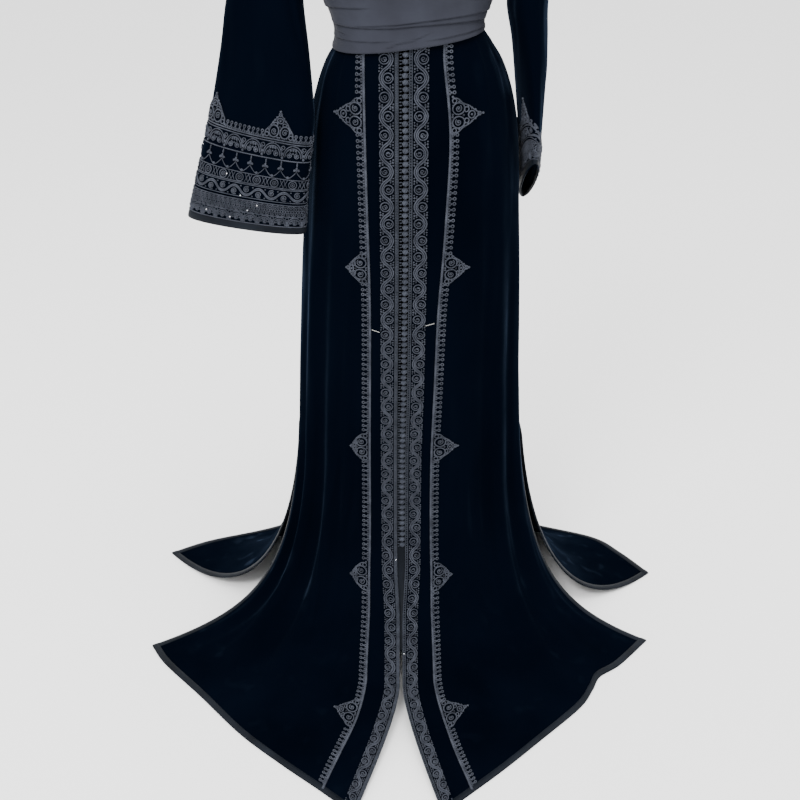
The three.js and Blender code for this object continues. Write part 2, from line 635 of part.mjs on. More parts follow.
function frontDistances(side, total, row) {
  const end = total - slitInset(row);
  const lace = LACE_COLUMNS.map((distance) => laceLine(side, row) + distance);
  const last = lace[lace.length - 1];
  const start = CORD.width + SEAM_GAP;
  return [0, start, ...FRONT_COLUMNS, ...lace, ...FRONT_SHARES.map((share) => mix(last, end, share)), end, total];
}

function backDistances(total, row) {
  const inset = slitInset(row);
  const inner = Array.from({ length: BACK_COLUMNS + 1 }, (_, k) => mix(inset, total - inset, k / BACK_COLUMNS));
  return [0, ...inner, total];
}

// The last row of cloth stops where the hem's binding starts.
function pullBackHem(panel) {
  const last = panel.grid.length - 1;
  const hem = panel.grid[last].map((cell) => cell.point.clone());
  const above = panel.grid[last - 1];
  panel.hem = hem.map((point, j) => ({ point, normal: panel.grid[last][j].normal }));
  panel.grid[last] = panel.grid[last].map((cell, j) => {
    const away = above[j].point.clone().sub(hem[j]);
    const share = (BINDING.width + SEAM_GAP) / away.length();
    return { ...cell, point: hem[j].clone().addScaledVector(away, share) };
  });
}

const frontSurface = (side) =>
  clothSurface((share, row) => frontBase(side, share, row), FRONT_FOLDS[side], -side, 0);
const backSurface = clothSurface((share, row) => backBase(share, row), BACK_FOLDS, 1, -1);

const SIDES = [
  { side: -1, word: "right" },
  { side: 1, word: "left" },
];
const fronts = SIDES.map(({ side }) => {
  const linesOf = (total, row) => frontDistances(side, total, row);
  const panel = new Panel(frontSurface(side), -side, 0, PANEL_ROWS, linesOf);
  panel.side = side;
  pullBackHem(panel);
  mitreSeams(panel, -1, [-2]);
  return panel;
});
const back = new Panel(backSurface, 1, -1, PANEL_ROWS, backDistances);
pullBackHem(back);
mitreSeams(back, 1, [1, -2]);

// The first and last column of a panel's grid are its trimmed edges, which the wall leaves out.
function panelWall(panel, flip) {
  const outer = panel.grid.map((row) => row.slice(1, -1).map((cell) => cell.point));
  const inner = panel.grid.map((row) => row.slice(1, -1).map((cell) => raised(cell, -VELVET)));
  return wall(outer, inner, false, flip);
}

// Along the shoulder and the side seams the walls of two panels meet in one upright plane, half a seam
// from each. ends lists the columns of the grid that are on a side seam.
function mitreSeams(panel, facing, ends) {
  panel.grid[0].forEach((cell) => {
    cell.point.y += (facing * SEAM_GAP) / 2;
    cell.normal.setY(0).normalize();
  });
  panel.grid.forEach((row, i) => {
    if (PANEL_ROWS[i] <= LAST_ROW) ends.forEach((j) => row.at(j).normal.setY(0).normalize());
  });
}

SIDES.forEach(({ side, word }, k) => add("front_" + word, panelWall(fronts[k], side < 0), VELVET_LOOK));
add("back", panelWall(back, true), VELVET_LOOK);

// ---- trim on the fronts ----
const lastPosition = PANEL_ROWS.length - 1;
const frontTop = PANEL_ROWS.indexOf(4); // the row where the neckline meets the centre front
// How far down the panel a position is, in millimetres along the front edge.
function frontLengths(panel) {
  const lengths = [0];
  for (let i = 1; i <= lastPosition; i += 1) {
    lengths.push(lengths[i - 1] + panel.onRow(i, CORD.width).point.distanceTo(panel.onRow(i - 1, CORD.width).point));
  }
  return lengths;
}

function positionAt(lengths, length) {
  let i = 1;
  while (i < lengths.length - 1 && lengths[i] < length) i += 1;
  return i - 1 + (length - lengths[i - 1]) / (lengths[i] - lengths[i - 1]);
}

function edgeBar(panel, positions, spans, over, under, flip) {
  const sections = positions.map((position, k) => {
    const [from, to] = spans(position, k);
    const a = panel.at(position, from);
    const b = panel.at(position, to);
    return [raised(a, -under), raised(b, -under), raised(b, over), raised(a, over)];
  });
  return bar(sections, false, flip);
}

// The flat braid runs round the neckline, down the front edge and stops at the hem's binding.
function cordPiece(panel, flip) {
  const positions = Array.from({ length: lastPosition + 1 }, (_, k) => k);
  return edgeBar(panel, positions, () => [0, CORD.width], CORD.over, CORD.under, flip);
}

// The scroll band: a low strip whose ridge swings from side to side at every half turn of the scroll.
function scrollPiece(panel, flip) {
  const lengths = frontLengths(panel);
  const top = lengths[frontTop] + 4;
  const end = lengths[lastPosition] - 3;
  const turns = [];
  for (let length = top; length < end; length += mix(SCROLL.pitchTop, SCROLL.pitchHem, (length - top) / (end - top))) {
    turns.push(length);
  }
  // The ridge is outermost and innermost at the turns, and the panel's own rows are kept between them.
  const stops = [...turns, ...lengths.filter((length) => length > top && length < turns[turns.length - 1])];
  stops.sort((a, b) => a - b);
  const kept = stops.filter((stop, k) => k === 0 || stop - stops[k - 1] > 2);
  const sections = kept.map((length) => {
    let k = 1;
    while (k < turns.length - 1 && turns[k] < length) k += 1;
    const share = (length - turns[k - 1]) / (turns[k] - turns[k - 1]);
    const swing = (k % 2 ? 1 : -1) * (1 - 2 * share);
    const width = mix(SCROLL.widthTop, SCROLL.widthHem, (length - top) / (end - top));
    const middle = SCROLL.start + width * (0.5 + 0.22 * swing);
    const distances = [SCROLL.start, SCROLL.start + width, middle];
    const [a, b, crest] = distances.map((distance) => panel.at(positionAt(lengths, length), distance));
    const thick = LIE_GAP + SCROLL.thick;
    return [raised(a, LIE_GAP), raised(b, LIE_GAP), raised(b, thick), raised(crest, thick + SCROLL.ridge), raised(a, thick)];
  });
  return bar(sections, false, flip);
}

// Rows of small loops beside the scrolls, with the pointed motifs on their outer side.
const laceAt = (panel, position) => {
  const i = clamp(Math.floor(position), 0, lastPosition - 1);
  return laceLine(panel.side, mix(PANEL_ROWS[i], PANEL_ROWS[i + 1], position - i));
};
function motifLengths(panel, lengths) {
  const found = MOTIFS.slice(0, -1).map(({ height }) => {
    let i = 1;
    while (i < lastPosition && panel.onRow(i, MOTIF_LINE).point.z > height) i += 1;
    const [z0, z1] = [i - 1, i].map((k) => panel.onRow(k, MOTIF_LINE).point.z);
    return mix(lengths[i - 1], lengths[i], (z0 - height) / (z0 - z1));
  });
  return [...found, found[found.length - 1] + MOTIF_ON_FLOOR];
}

function lacePiece(panel, flip) {
  const lengths = frontLengths(panel);
  const inside = lengths.slice(frontTop + 1, lastPosition);
  const stops = [lengths[frontTop] + 10, ...inside, lengths[lastPosition] - 3];
  const sections = stops.map((length) => {
    const position = positionAt(lengths, length);
    const line = laceAt(panel, position);
    const [a, b] = [line, line + LACE.width].map((distance) => panel.at(position, distance));
    const thick = LIE_GAP + LACE.thick;
    return [raised(a, LIE_GAP), raised(b, LIE_GAP), raised(b, thick), raised(a, thick)];
  });
  return bar(sections, false, flip);
}

// A pointed motif: a thin patch that starts inside the lace strip and narrows to its tip.
function motifPiece(panel, length, motif, flip) {
  const lengths = frontLengths(panel);
  const reach = LACE.cord + (panel.side < 0 ? motif.right : motif.left);
  const start = LACE.width - LACE.overlap;
  const across = [0, 0.33, 0.67, 1];
  const along = [-1, -0.5, 0, 0.5, 1];
  const cells = across.map((t) => {
    const half = LACE.motifHalf * motif.size * mix(1, 0.12, t);
    const distance = mix(start, reach, t);
    return along.map((u) => {
      const position = positionAt(lengths, length + u * half);
      return panel.at(position, laceAt(panel, position) + distance);
    });
  });
  const outer = cells.map((row) => row.map((cell) => raised(cell, MOTIF_GAP + LACE.thick)));
  const inner = cells.map((row) => row.map((cell) => raised(cell, MOTIF_GAP)));
  return wall(outer, inner, false, flip);
}

SIDES.forEach(({ side, word }, k) => {
  add("edge_braid_" + word, cordPiece(fronts[k], side < 0), BRAID_LOOK);
  add("scroll_band_" + word, scrollPiece(fronts[k], side < 0), BRAID_LOOK);
  const motifs = motifLengths(fronts[k], frontLengths(fronts[k])).map((length, n) =>
    motifPiece(fronts[k], length, MOTIFS[n], side > 0),
  );
  add("loop_lace_" + word, joined([lacePiece(fronts[k], side < 0), ...motifs]), BRAID_LOOK);
});

// ---- bindings on the slits and the hem ----
function bindingSection(outer, inner) {
  const { over, under } = BINDING;
  return [raised(inner, -under), raised(outer, -under), raised(outer, over), raised(inner, over)];
}

// From the top of the slit down its edge, round the corner, and along the hem to the front edge.
function slitStations(panel, atStart) {
  const first = panel.positionOf(LAST_ROW) + 1;
  const stations = [];
  for (let i = first; i < lastPosition; i += 1) {
    const total = panel.length(i);
    const outer = panel.onRow(i, atStart ? 0 : total);
    const inner = panel.onRow(i, atStart ? BINDING.width : total - BINDING.width);
    stations.push([outer, inner]);
  }
  return stations;
}

// The hem's stations: the outer ones on the hem, the inner ones a binding's width up the panel.
function hemStations(panel) {
  const last = panel.grid[lastPosition];
  const above = panel.grid[lastPosition - 1];
  return panel.hem.map((outer, j) => {
    const away = above[j].point.clone().sub(outer.point).normalize();
    const inner = { point: outer.point.clone().addScaledVector(away, BINDING.width), normal: last[j].normal };
    return [outer, inner];
  });
}

function frontBinding(panel, flip) {
  const hem = hemStations(panel);
  const corner = [hem[hem.length - 1][0], hem[hem.length - 2][1]];
  const stations = [...slitStations(panel, false), corner, ...hem.slice(0, -2).reverse()];
  return bar(stations.map(([outer, inner]) => bindingSection(outer, inner)), false, flip);
}

function backBinding(panel, flip) {
  const hem = hemStations(panel);
  const left = [hem[0][0], hem[1][1]];
  const right = [hem[hem.length - 1][0], hem[hem.length - 2][1]];
  const stations = [
    ...slitStations(panel, true),
    left,
    ...hem.slice(2, -2),
    right,
    ...slitStations(panel, false).reverse(),
  ];
  return bar(stations.map(([outer, inner]) => bindingSection(outer, inner)), false, flip);
}

SIDES.forEach(({ side, word }, k) => add("hem_binding_" + word, frontBinding(fronts[k], side < 0), SATIN_LOOK));
add("hem_binding_back", backBinding(back, false), SATIN_LOOK);

// ---- the row of knots that closes the front ----
function knotRow() {
  const lengths = frontLengths(fronts[0]);
  const sections = [];
  const top = lengths[frontTop] + 2;
  const lowest = fronts[0].grid.findIndex((row) => row[0].point.z < KNOT_END_ROW_HEIGHT);
  const end = lengths[lowest];
  const count = 2 * Math.floor((end - top) / KNOT.pitch);
  for (let k = 0; k <= count; k += 1) {
    const position = positionAt(lengths, top + (k * KNOT.pitch) / 2);
    const [a, b] = fronts.map((panel) => panel.at(position, 0));
    const across = b.point.clone().sub(a.point);
    const width = across.length();
    across.divideScalar(width);
    const out = a.normal.clone().add(b.normal).normalize();
    const half = Math.min(KNOT.half, width / 2 - SEAM_GAP);
    const middle = a.point.clone().lerp(b.point, 0.5);
    const place = (x, h) => middle.clone().addScaledVector(across, x).addScaledVector(out, h);
    const height = k % 2 ? KNOT.height : KNOT.valley;
    sections.push([place(-half, -KNOT.under), place(half, -KNOT.under), place(half, 0.6), place(0, height), place(-half, 0.6)]);
  }
  return bar(sections, false, false);
}
add("knot_row", knotRow(), BRAID_LOOK);

// ---- the braid on the back of the neck ----
function backNeckBraid() {
  const row = back.grid[0];
  const next = back.grid[1];
  const cells = row.filter((cell) => {
    const across = (2 * cell.distance) / cell.total - 1;
    return Math.abs(across) < BACK_NECK.share * 0.9;
  });
  const sections = cells.map((cell) => {
    const j = row.indexOf(cell);
    const up = cell.point.clone().sub(next[j].point).normalize();
    const lower = { point: cell.point.clone().addScaledVector(up, CUFF_GAP), normal: cell.normal };
    const upper = { point: lower.point.clone().addScaledVector(up, CORD.width), normal: cell.normal };
    return [raised(lower, -CORD.under), raised(upper, -CORD.under), raised(upper, CORD.over), raised(lower, CORD.over)];
  });
  return bar(sections, false, true);
}
add("neck_braid_back", backNeckBraid(), BRAID_LOOK);

// ---- sleeves ----
function sleevePoint(side, row, angle) {
  const rings = SLEEVE_RINGS[side];
  const get = (name) => column(rings, name, row);
  const middle = new THREE.Vector3(side * (get("outX") + get("inX")) * 0.5, get("y"), (get("outZ") + get("inZ")) * 0.5);
  const half = new THREE.Vector3(side * (get("outX") - get("inX")) * 0.5, get("turn"), (get("outZ") - get("inZ")) * 0.5);
  const power = 2 / get("round");
  const c = Math.sign(Math.cos(angle)) * Math.abs(Math.cos(angle)) ** power;
  const s = Math.sign(Math.sin(angle)) * Math.abs(Math.sin(angle)) ** power;
  return middle.addScaledVector(half, c).add(new THREE.Vector3(0, get("depth") * s, -get("slant") * s));
}

function sleeveCell(side, row, angle) {
  const last = SLEEVE_RINGS[side].length - 1;
  const r = clamp(row, STEP, last - STEP);
  const around = sleevePoint(side, r, angle + STEP).sub(sleevePoint(side, r, angle - STEP));
  const down = sleevePoint(side, r + STEP, angle).sub(sleevePoint(side, r - STEP, angle));
  return { point: sleevePoint(side, row, angle), normal: around.cross(down).multiplyScalar(-side).normalize() };
}

function sleeveRing(side, row) {
  const angles = Array.from({ length: SLEEVE_SIDES }, (_, k) => ((k + 0.5) / SLEEVE_SIDES) * 2 * Math.PI);
  return angles.map((angle) => sleeveCell(side, row, angle));
}

// Moves every point of a ring the same length along its own way down the sleeve.
function shiftRing(ring, towards, length) {
  return ring.map((cell, k) => {
    const way = towards[k].point.clone().sub(cell.point).normalize();
    return { point: cell.point.clone().addScaledVector(way, length), normal: cell.normal };
  });
}

// The first ring, moved down the sleeve until it stands the armhole's gap from the armhole's plane.
function clearOfArmhole(side, ring, next) {
  const outward = new THREE.Vector3(side * ARMHOLE.halfHeight, 0, -ARMHOLE.leanX).normalize();
  return ring.map((cell, k) => {
    const way = next[k].point.clone().sub(cell.point);
    const point = cell.point.clone().addScaledVector(way, ARMHOLE_GAP / way.dot(outward));
    return { point, normal: cell.normal };
  });
}

function ringWall(rings, over, under, flip) {
  const outer = rings.map((ring) => ring.map((cell) => raised(cell, over)));
  const inner = rings.map((ring) => ring.map((cell) => raised(cell, -under)));
  return wall(outer, inner, true, flip);
}

SIDES.forEach(({ side, word }) => {
  const last = SLEEVE_RINGS[side].length - 1;
  const rings = Array.from({ length: last + 1 }, (_, k) => sleeveRing(side, k));
  const beforeCuff = rings[last - 1];
  const hem = rings[last];
  const clothEnd = shiftRing(hem, beforeCuff, BINDING.width + CUFF_GAP);
  const bindingTop = shiftRing(hem, beforeCuff, BINDING.width);
  const top = clearOfArmhole(side, rings[0], rings[1]);
  add("sleeve_" + word, ringWall([top, ...rings.slice(1, last), clothEnd], 0, VELVET, side < 0), VELVET_LOOK);
  add("cuff_binding_" + word, ringWall([bindingTop, hem], BINDING.over, BINDING.under, side < 0), SATIN_LOOK);

  const top0 = last - CUFF_LACE.rings[side];
  const fall = (k) => {
    const outward = Math.cos(((k + 0.5) / SLEEVE_SIDES) * 2 * Math.PI);
    return CUFF_LACE.fall[side] * (0.5 + 0.5 * outward);
  };
  const spire = (k) => {
    const wave = Math.cos(((k + 0.5) / SLEEVE_SIDES - CUFF_LACE.turn[side]) * CUFF_LACE.spires * 2 * Math.PI);
    return Math.max(0.08, wave * CUFF_LACE.reach[side]) * (1 - fall(k));
  };
  const between = (from, to, share) =>
    from.map((cell, k) => ({
      point: cell.point.clone().lerp(to[k].point, share(k)),
      normal: cell.normal.clone().lerp(to[k].normal, share(k)).normalize(),
    }));
  const lower = shiftRing(hem, beforeCuff, BINDING.width + 2 * CUFF_GAP);
  const fallen = between(rings[top0], lower, fall);
  const upper = between(fallen, rings[top0 - 1], spire);
  const levels = [upper, fallen, ...rings.slice(top0 + 1, last), lower];
  add("cuff_lace_" + word, ringWall(levels, LIE_GAP + CUFF_LACE.thick, -LIE_GAP, side < 0), BRAID_LOOK);
});

// ---- the belt ----
function bodyRing(height, angle) {
  const front = Math.cos(angle) < 0;
  const side = Math.sin(angle) < 0 ? -1 : 1;
  const across = Math.abs(Math.atan2(Math.sin(angle), Math.abs(Math.cos(angle)))) / (Math.PI / 2);
  const surface = (share, row) => (front ? frontUpper(side, share, row) : backUpper(side * share, row));
  let low = 5;
  let high = 14;
  for (let k = 0; k < 24; k += 1) {
    const middle = (low + high) / 2;
    if (surface(across, middle).z > height) low = middle;
    else high = middle;
  }
  return surface(across, low);
}

function beltPiece() {
  const sections = [];
  for (let k = 0; k < BELT_SIDES; k += 1) {
    const angle = ((k + 0.5) / BELT_SIDES) * 2 * Math.PI;
    const direction = new THREE.Vector3(Math.sin(angle), Math.cos(angle), 0);
    const facing = Math.max(0, -Math.cos(angle)) ** 2;
    const gap = mix(BELT.gapSide, BELT.gapFront, facing);
    const outer = BELT_PLEATS.map(({ share, out }) => {
      const x = bodyRing(BELT.low, angle).x;
      const z = BELT.low + BELT.tiltX * x + share * BELT.tall;
      return bodyRing(z, angle).addScaledVector(direction, gap + BELT.thick + out);
    });
    const levels = [1, 0.75, 0.5, 0.25, 0].map((share) => mix(outer[0].z, outer[outer.length - 1].z, share));
    const inner = levels.map((z) => bodyRing(z, angle).addScaledVector(direction, gap));
    sections.push([...outer, ...inner]);
  }
  return bar(sections, true, false);
}
add("belt", beltPiece(), BELT_LOOK);

export default garment;
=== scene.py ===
"""A floor-length velvet caftan that hangs open and hollow, on a pale floor.

Tables and formulas are in millimetres above the floor; world() turns them into metres in the row's frame.
x runs to the wearer's left, -y to the front, z up.
"""

import math

import bpy
import numpy as np
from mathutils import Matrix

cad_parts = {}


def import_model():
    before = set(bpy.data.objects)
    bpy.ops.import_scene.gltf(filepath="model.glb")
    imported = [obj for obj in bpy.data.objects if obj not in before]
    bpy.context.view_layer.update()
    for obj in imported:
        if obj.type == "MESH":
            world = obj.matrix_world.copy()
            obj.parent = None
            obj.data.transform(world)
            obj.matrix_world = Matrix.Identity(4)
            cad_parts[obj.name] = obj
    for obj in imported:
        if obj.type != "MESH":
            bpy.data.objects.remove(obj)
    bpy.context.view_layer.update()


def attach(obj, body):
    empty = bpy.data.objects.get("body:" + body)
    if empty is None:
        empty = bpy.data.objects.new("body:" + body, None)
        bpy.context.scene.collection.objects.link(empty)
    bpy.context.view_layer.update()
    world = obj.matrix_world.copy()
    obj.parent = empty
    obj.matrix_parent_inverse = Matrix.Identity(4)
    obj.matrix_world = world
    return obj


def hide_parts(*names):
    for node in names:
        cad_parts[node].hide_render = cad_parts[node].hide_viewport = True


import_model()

# ---- sizes ----
SHOULDER_HEIGHT = 1480.0
VELVET = 1.6
FLOOR_LIFT = 2.5
SLIT_HEIGHT = 388.0
BINDING = 12.0
EDGE_GAP, SEAM_GAP, SLIT_GAP, HEM_INSET = 1.2, 0.4, 2.0, 0.3
CORD_WIDTH = 7.0
# The scroll band's start, its width and its half wave, at the neck and at the hem.
SCROLL_START = 7.6
SCROLL_WIDTH = (25.5, 19.6)
SCROLL_HALF = (30.0, 25.0)
FLAT_CORD = 4.4
PICOT_PITCH = 9.2
KNOT_PITCH = 10.4
KNOT_LOWEST = 202.0
KNOT_WIDE, KNOT_LONG, KNOT_DEEP = 5.0, 4.6, 4.3
# Heights are read off the panel at this distance from the front edge.
MOTIF_LINE = 48.0
# The strip under the front trim: its width, its step across, and the line that lengths are measured along.
PATCH_WIDTH, PATCH_STEP, PATCH_LINE = 134.0, 2.0, 6.0
# The last motif lies this far down the cloth from the one above; small rings keep MOTIF_ROOM from each motif.
MOTIF_ON_FLOOR = 285.0
MOTIF_ROOM = 27.5
ARM_X, ARM_Z, ARM_LEAN, ARM_HIGH, ARM_DEEP = 175.0, 1357.5, 13.0, 82.5, 42.0


def table(names, rows):
    """Named columns from rows."""
    return dict(zip(names.split(), np.array(rows, float).T))


# The front edge, the armhole's angles, the side seam below it and the middle of the back, each by rows that
# run down the cloth. round says how square the section is between the middle and the side.
FRONT = table("x y z round", [
    (84, 6, 1496, 2.0), (78, -38, 1462, 2.1), (58, -66, 1428, 2.2), (33, -83, 1407, 2.3),
    (7.5, -92, 1396, 2.4), (7.5, -109, 1345, 2.5), (7.5, -119, 1290, 2.5), (7.5, -113, 1236, 2.4),
    (7.5, -104, 1182, 2.3), (7.5, -98, 1132, 2.3), (7.5, -97, 1090, 2.3), (7.5, -108, 1047, 2.3),
    (7.5, -121, 1002, 2.3), (7.5, -132, 948, 2.3), (7.5, -139, 880, 2.3), (7.5, -141, 800, 2.3),
    (7.5, -142, 710, 2.3), (7.5, -142, 615, 2.3), (7.5, -141, 510, 2.3),
    (6.5, -141, SLIT_HEIGHT, 2.3),
])
ARMS = np.array([0, 48, 90, 132, 180.0])
UNDERARM = 4
SIDE = table("x z", [
    (162, 1275), (157, 1238), (149, 1202), (140, 1172), (128, 1140), (115, 1106), (123, 1077),
    (143, 1045), (159, 1002), (171, 948), (178, 880), (182.5, 800), (188, 710), (192.5, 615), (197, 510),
    (203, SLIT_HEIGHT),
])
BACK = table("y z", [
    (58, 1470), (76, 1436), (88, 1400), (95, 1360), (98, 1320), (97, 1282), (93, 1240), (88, 1200),
    (84, 1158), (82, 1118), (86, 1082), (101, 1044), (116, 1002), (127, 948), (132, 880), (131, 800),
    (130, 710), (130, 615), (131, 510),
    (132, SLIT_HEIGHT),
])
NECK_SHARE, NECK_X, NECK_Y, NECK_DIP, NECK_ROWS = 0.42, 84.0, 6.0, 26.0, 2.4
# How far the closure and the body's middle lie to the side, by height.
LINES = table("z front body", [
    (1500, 0, 0), (1180, -6, -3), (1105, -7, 0), (1075, -8, 9), (1000, -8, 9), (740, -8, 5),
    (510, -10, 2),
    (SLIT_HEIGHT, -12, 2.5),
])
# The hem on the floor by share of each panel: its place, and the two points that shape the curve down to it.
# These are the knee, by its height, and the low point, by its share of the way back from the hem and height.
SWEEP_COLUMNS = "share x y knee reach rise"
SWEEP = {
    -1: table(SWEEP_COLUMNS, [
        (0.0, -86, -614, 40, 0.66, 32), (0.137, -144, -561, 42, 0.66, 30),
        (0.296, -213, -501, 50, 0.66, 26), (0.475, -288, -430, 64, 0.65, 22),
        (0.694, -369, -334, 84, 0.62, 15), (0.894, -445, -247, 78, 0.66, 9),
        (1.0, -477, -195, 70, 0.69, 6),
    ]),
    1: table(SWEEP_COLUMNS, [
        (0.0, 53, -612, 40, 0.66, 32), (0.214, 151, -521, 46, 0.66, 28), (0.393, 224, -447, 60, 0.65, 23),
        (0.588, 302, -365, 84, 0.64, 18), (0.684, 331, -317, 100, 0.63, 15),
        (0.75, 348, -283, 108, 0.62, 13), (0.84, 389, -250, 100, 0.64, 10), (1.0, 449, -180, 85, 0.66, 6),
    ]),
    0: table(SWEEP_COLUMNS, [
        (-1.0, -487, 104, 92, 0.66, 3), (-0.843, -414, 148, 118, 0.62, 6),
        (-0.614, -296, 193, 100, 0.62, 14), (-0.325, -150, 268, 70, 0.6, 20),
        (-0.048, 0, 305, 50, 0.6, 22), (0.227, 150, 272, 70, 0.6, 20), (0.475, 276, 209, 100, 0.62, 14),
        (0.703, 393, 160, 125, 0.62, 10), (0.843, 443, 105, 130, 0.62, 6), (1.0, 489, 34, 100, 0.66, 3),
    ]),
}
# How far the loop lace lies from the front edge on each panel, by row.
LACE_LINE = table("row right left", [
    (0, 54, 53), (10.4, 54, 53), (13, 52, 64), (15, 49, 58), (16.6, 46, 49), (19, 47, 45), (24, 49, 46),
    (28.2, 56, 53), (32.4, 61, 57), (35, 61, 59), (37, 67, 61), (39, 72, 67),
])
# The pointed motifs: height above the floor, how far each reaches past the lace cord, and its size along.
# The last one lies on the floor.
MOTIFS = table("height right left size", [
    (1300, 55, 55, 1.0), (985, 53, 55, 1.0), (736, 36, 43, 0.97), (398, 32, 45, 1.0), (149, 33, 36, 0.95),
    (0, 44, 49, 1.15),
])
LAST_ROW = 19
SWEEP_ROWS = 20
HEM_ROW = LAST_ROW + SWEEP_ROWS
# Near the side slits: how far the curve below them is pulled to the front, minus, or the back, at its low
# point and at its knee.
SIDE_BOW = {-1: -30, 1: -22, 0: -165}
SIDE_PART = {-1: -42, 1: -42, 0: 18}
SIDE_START = 0.68
# The front split: the share of the cloth that it moves, where it opens, and how far it closes above that.
SPLIT_SHARE, SPLIT_TOP, SPLIT_PINCH = 0.32, 0.67, 4.6

# Folds and creases: share a at row top to share b at row end, half-width as a share, lift in mm.
FOLDS = {
    -1: [
        (0.4, 0.5, 14, 38, 0.05, 8), (0.5, 0.61, 15, 37, 0.06, -9), (0.62, 0.73, 13, 38, 0.06, 8),
        (0.76, 0.84, 15, 37, 0.06, -8), (0.27, 0.36, 12, 36, 0.03, 2.6),
        (0.33, 0.42, 17, 34, 0.022, -2.2), (0.46, 0.55, 20, 36, 0.016, 1.8),
        (0.56, 0.66, 18, 33, 0.02, -2.0), (0.68, 0.78, 21, 37, 0.018, 2.2),
        (0.88, 0.92, 18, 36, 0.025, 2.4), (0.20, 0.24, 27, 38, 0.02, -1.6),
        (0.36, 0.20, 9.5, 14, 0.03, 1.4), (0.60, 0.42, 9.8, 14.5, 0.03, -1.8),
        (0.80, 0.62, 9.6, 14, 0.035, 2.0), (0.30, 0.55, 5.0, 8.6, 0.04, 1.8),
        (0.5, 0.75, 4.5, 8.4, 0.05, -2.0), (0.74, 0.9, 29, 38.5, 0.03, 4.0),
        (0.9, 0.97, 31, 38.8, 0.02, 3.0), (0.26, 0.47, 15.5, 24.0, 0.013, 2.4),
        (0.47, 0.40, 22.5, 32.0, 0.013, 2.2), (0.235, 0.345, 19.0, 25.0, 0.012, 2.0),
        (0.345, 0.372, 24.0, 31.5, 0.012, 1.8), (0.224, 0.238, 26.0, 32.0, 0.010, 1.6),
    ],
    1: [
        (0.44, 0.46, 14, 37, 0.05, -7), (0.56, 0.57, 13, 38, 0.06, 7), (0.7, 0.7, 15, 37, 0.06, -8),
        (0.84, 0.82, 14, 38, 0.06, 6), (0.30, 0.33, 13, 35, 0.026, 2.4), (0.37, 0.39, 19, 37, 0.02, -2.0),
        (0.50, 0.51, 17, 33, 0.018, 1.8), (0.62, 0.64, 21, 36, 0.02, -2.0),
        (0.76, 0.76, 16, 31, 0.02, 1.9), (0.91, 0.9, 19, 37, 0.022, 2.2), (0.22, 0.24, 28, 38, 0.02, 1.6),
        (0.34, 0.2, 9.7, 14, 0.03, -1.5), (0.58, 0.4, 9.5, 14.2, 0.03, 1.8),
        (0.82, 0.64, 9.8, 14.5, 0.035, -2.0), (0.32, 0.56, 4.9, 8.5, 0.04, -1.8),
        (0.52, 0.78, 4.6, 8.6, 0.05, 2.0), (0.7, 0.8, 30, 38.6, 0.03, 4.0),
        (0.88, 0.95, 30, 38.8, 0.024, 3.2), (0.32, 0.28, 19.5, 28.5, 0.012, 1.8),
        (0.165, 0.165, 29.5, 34.5, 0.010, 1.6),
    ],
    0: [
        (-0.74, -0.8, 13, 37, 0.05, 8), (-0.6, -0.66, 14, 37, 0.05, -8), (-0.44, -0.5, 12, 38, 0.05, 9),
        (-0.28, -0.34, 14, 37, 0.05, -9), (-0.1, -0.14, 12, 38, 0.05, 8), (0.08, 0.06, 14, 37, 0.05, -9),
        (0.24, 0.27, 12, 38, 0.05, 9), (0.4, 0.46, 14, 37, 0.05, -8), (0.56, 0.63, 13, 38, 0.05, 8),
        (0.74, 0.8, 14, 37, 0.05, -7), (-0.67, -0.72, 17, 34, 0.018, 2.2),
        (-0.52, -0.57, 20, 37, 0.016, -2.0), (-0.36, -0.41, 15, 31, 0.018, 2.4),
        (-0.18, -0.23, 19, 36, 0.016, 1.8), (0.0, -0.03, 16, 33, 0.018, -2.2),
        (0.16, 0.17, 20, 37, 0.016, 2.0), (0.33, 0.37, 15, 32, 0.018, -2.3),
        (0.5, 0.56, 19, 37, 0.016, 2.0), (0.66, 0.73, 16, 34, 0.018, 2.2),
        (-0.5, -0.25, 4.5, 8.8, 0.05, 2.0), (0.5, 0.25, 4.2, 8.6, 0.05, 2.0),
        (-0.75, -0.45, 5.0, 9.0, 0.04, -1.8), (0.75, 0.45, 5.0, 9.0, 0.04, -1.8),
        (-0.3, -0.12, 9.6, 14, 0.03, 2.0), (0.34, 0.14, 9.6, 14.4, 0.03, -2.0),
    ],
}

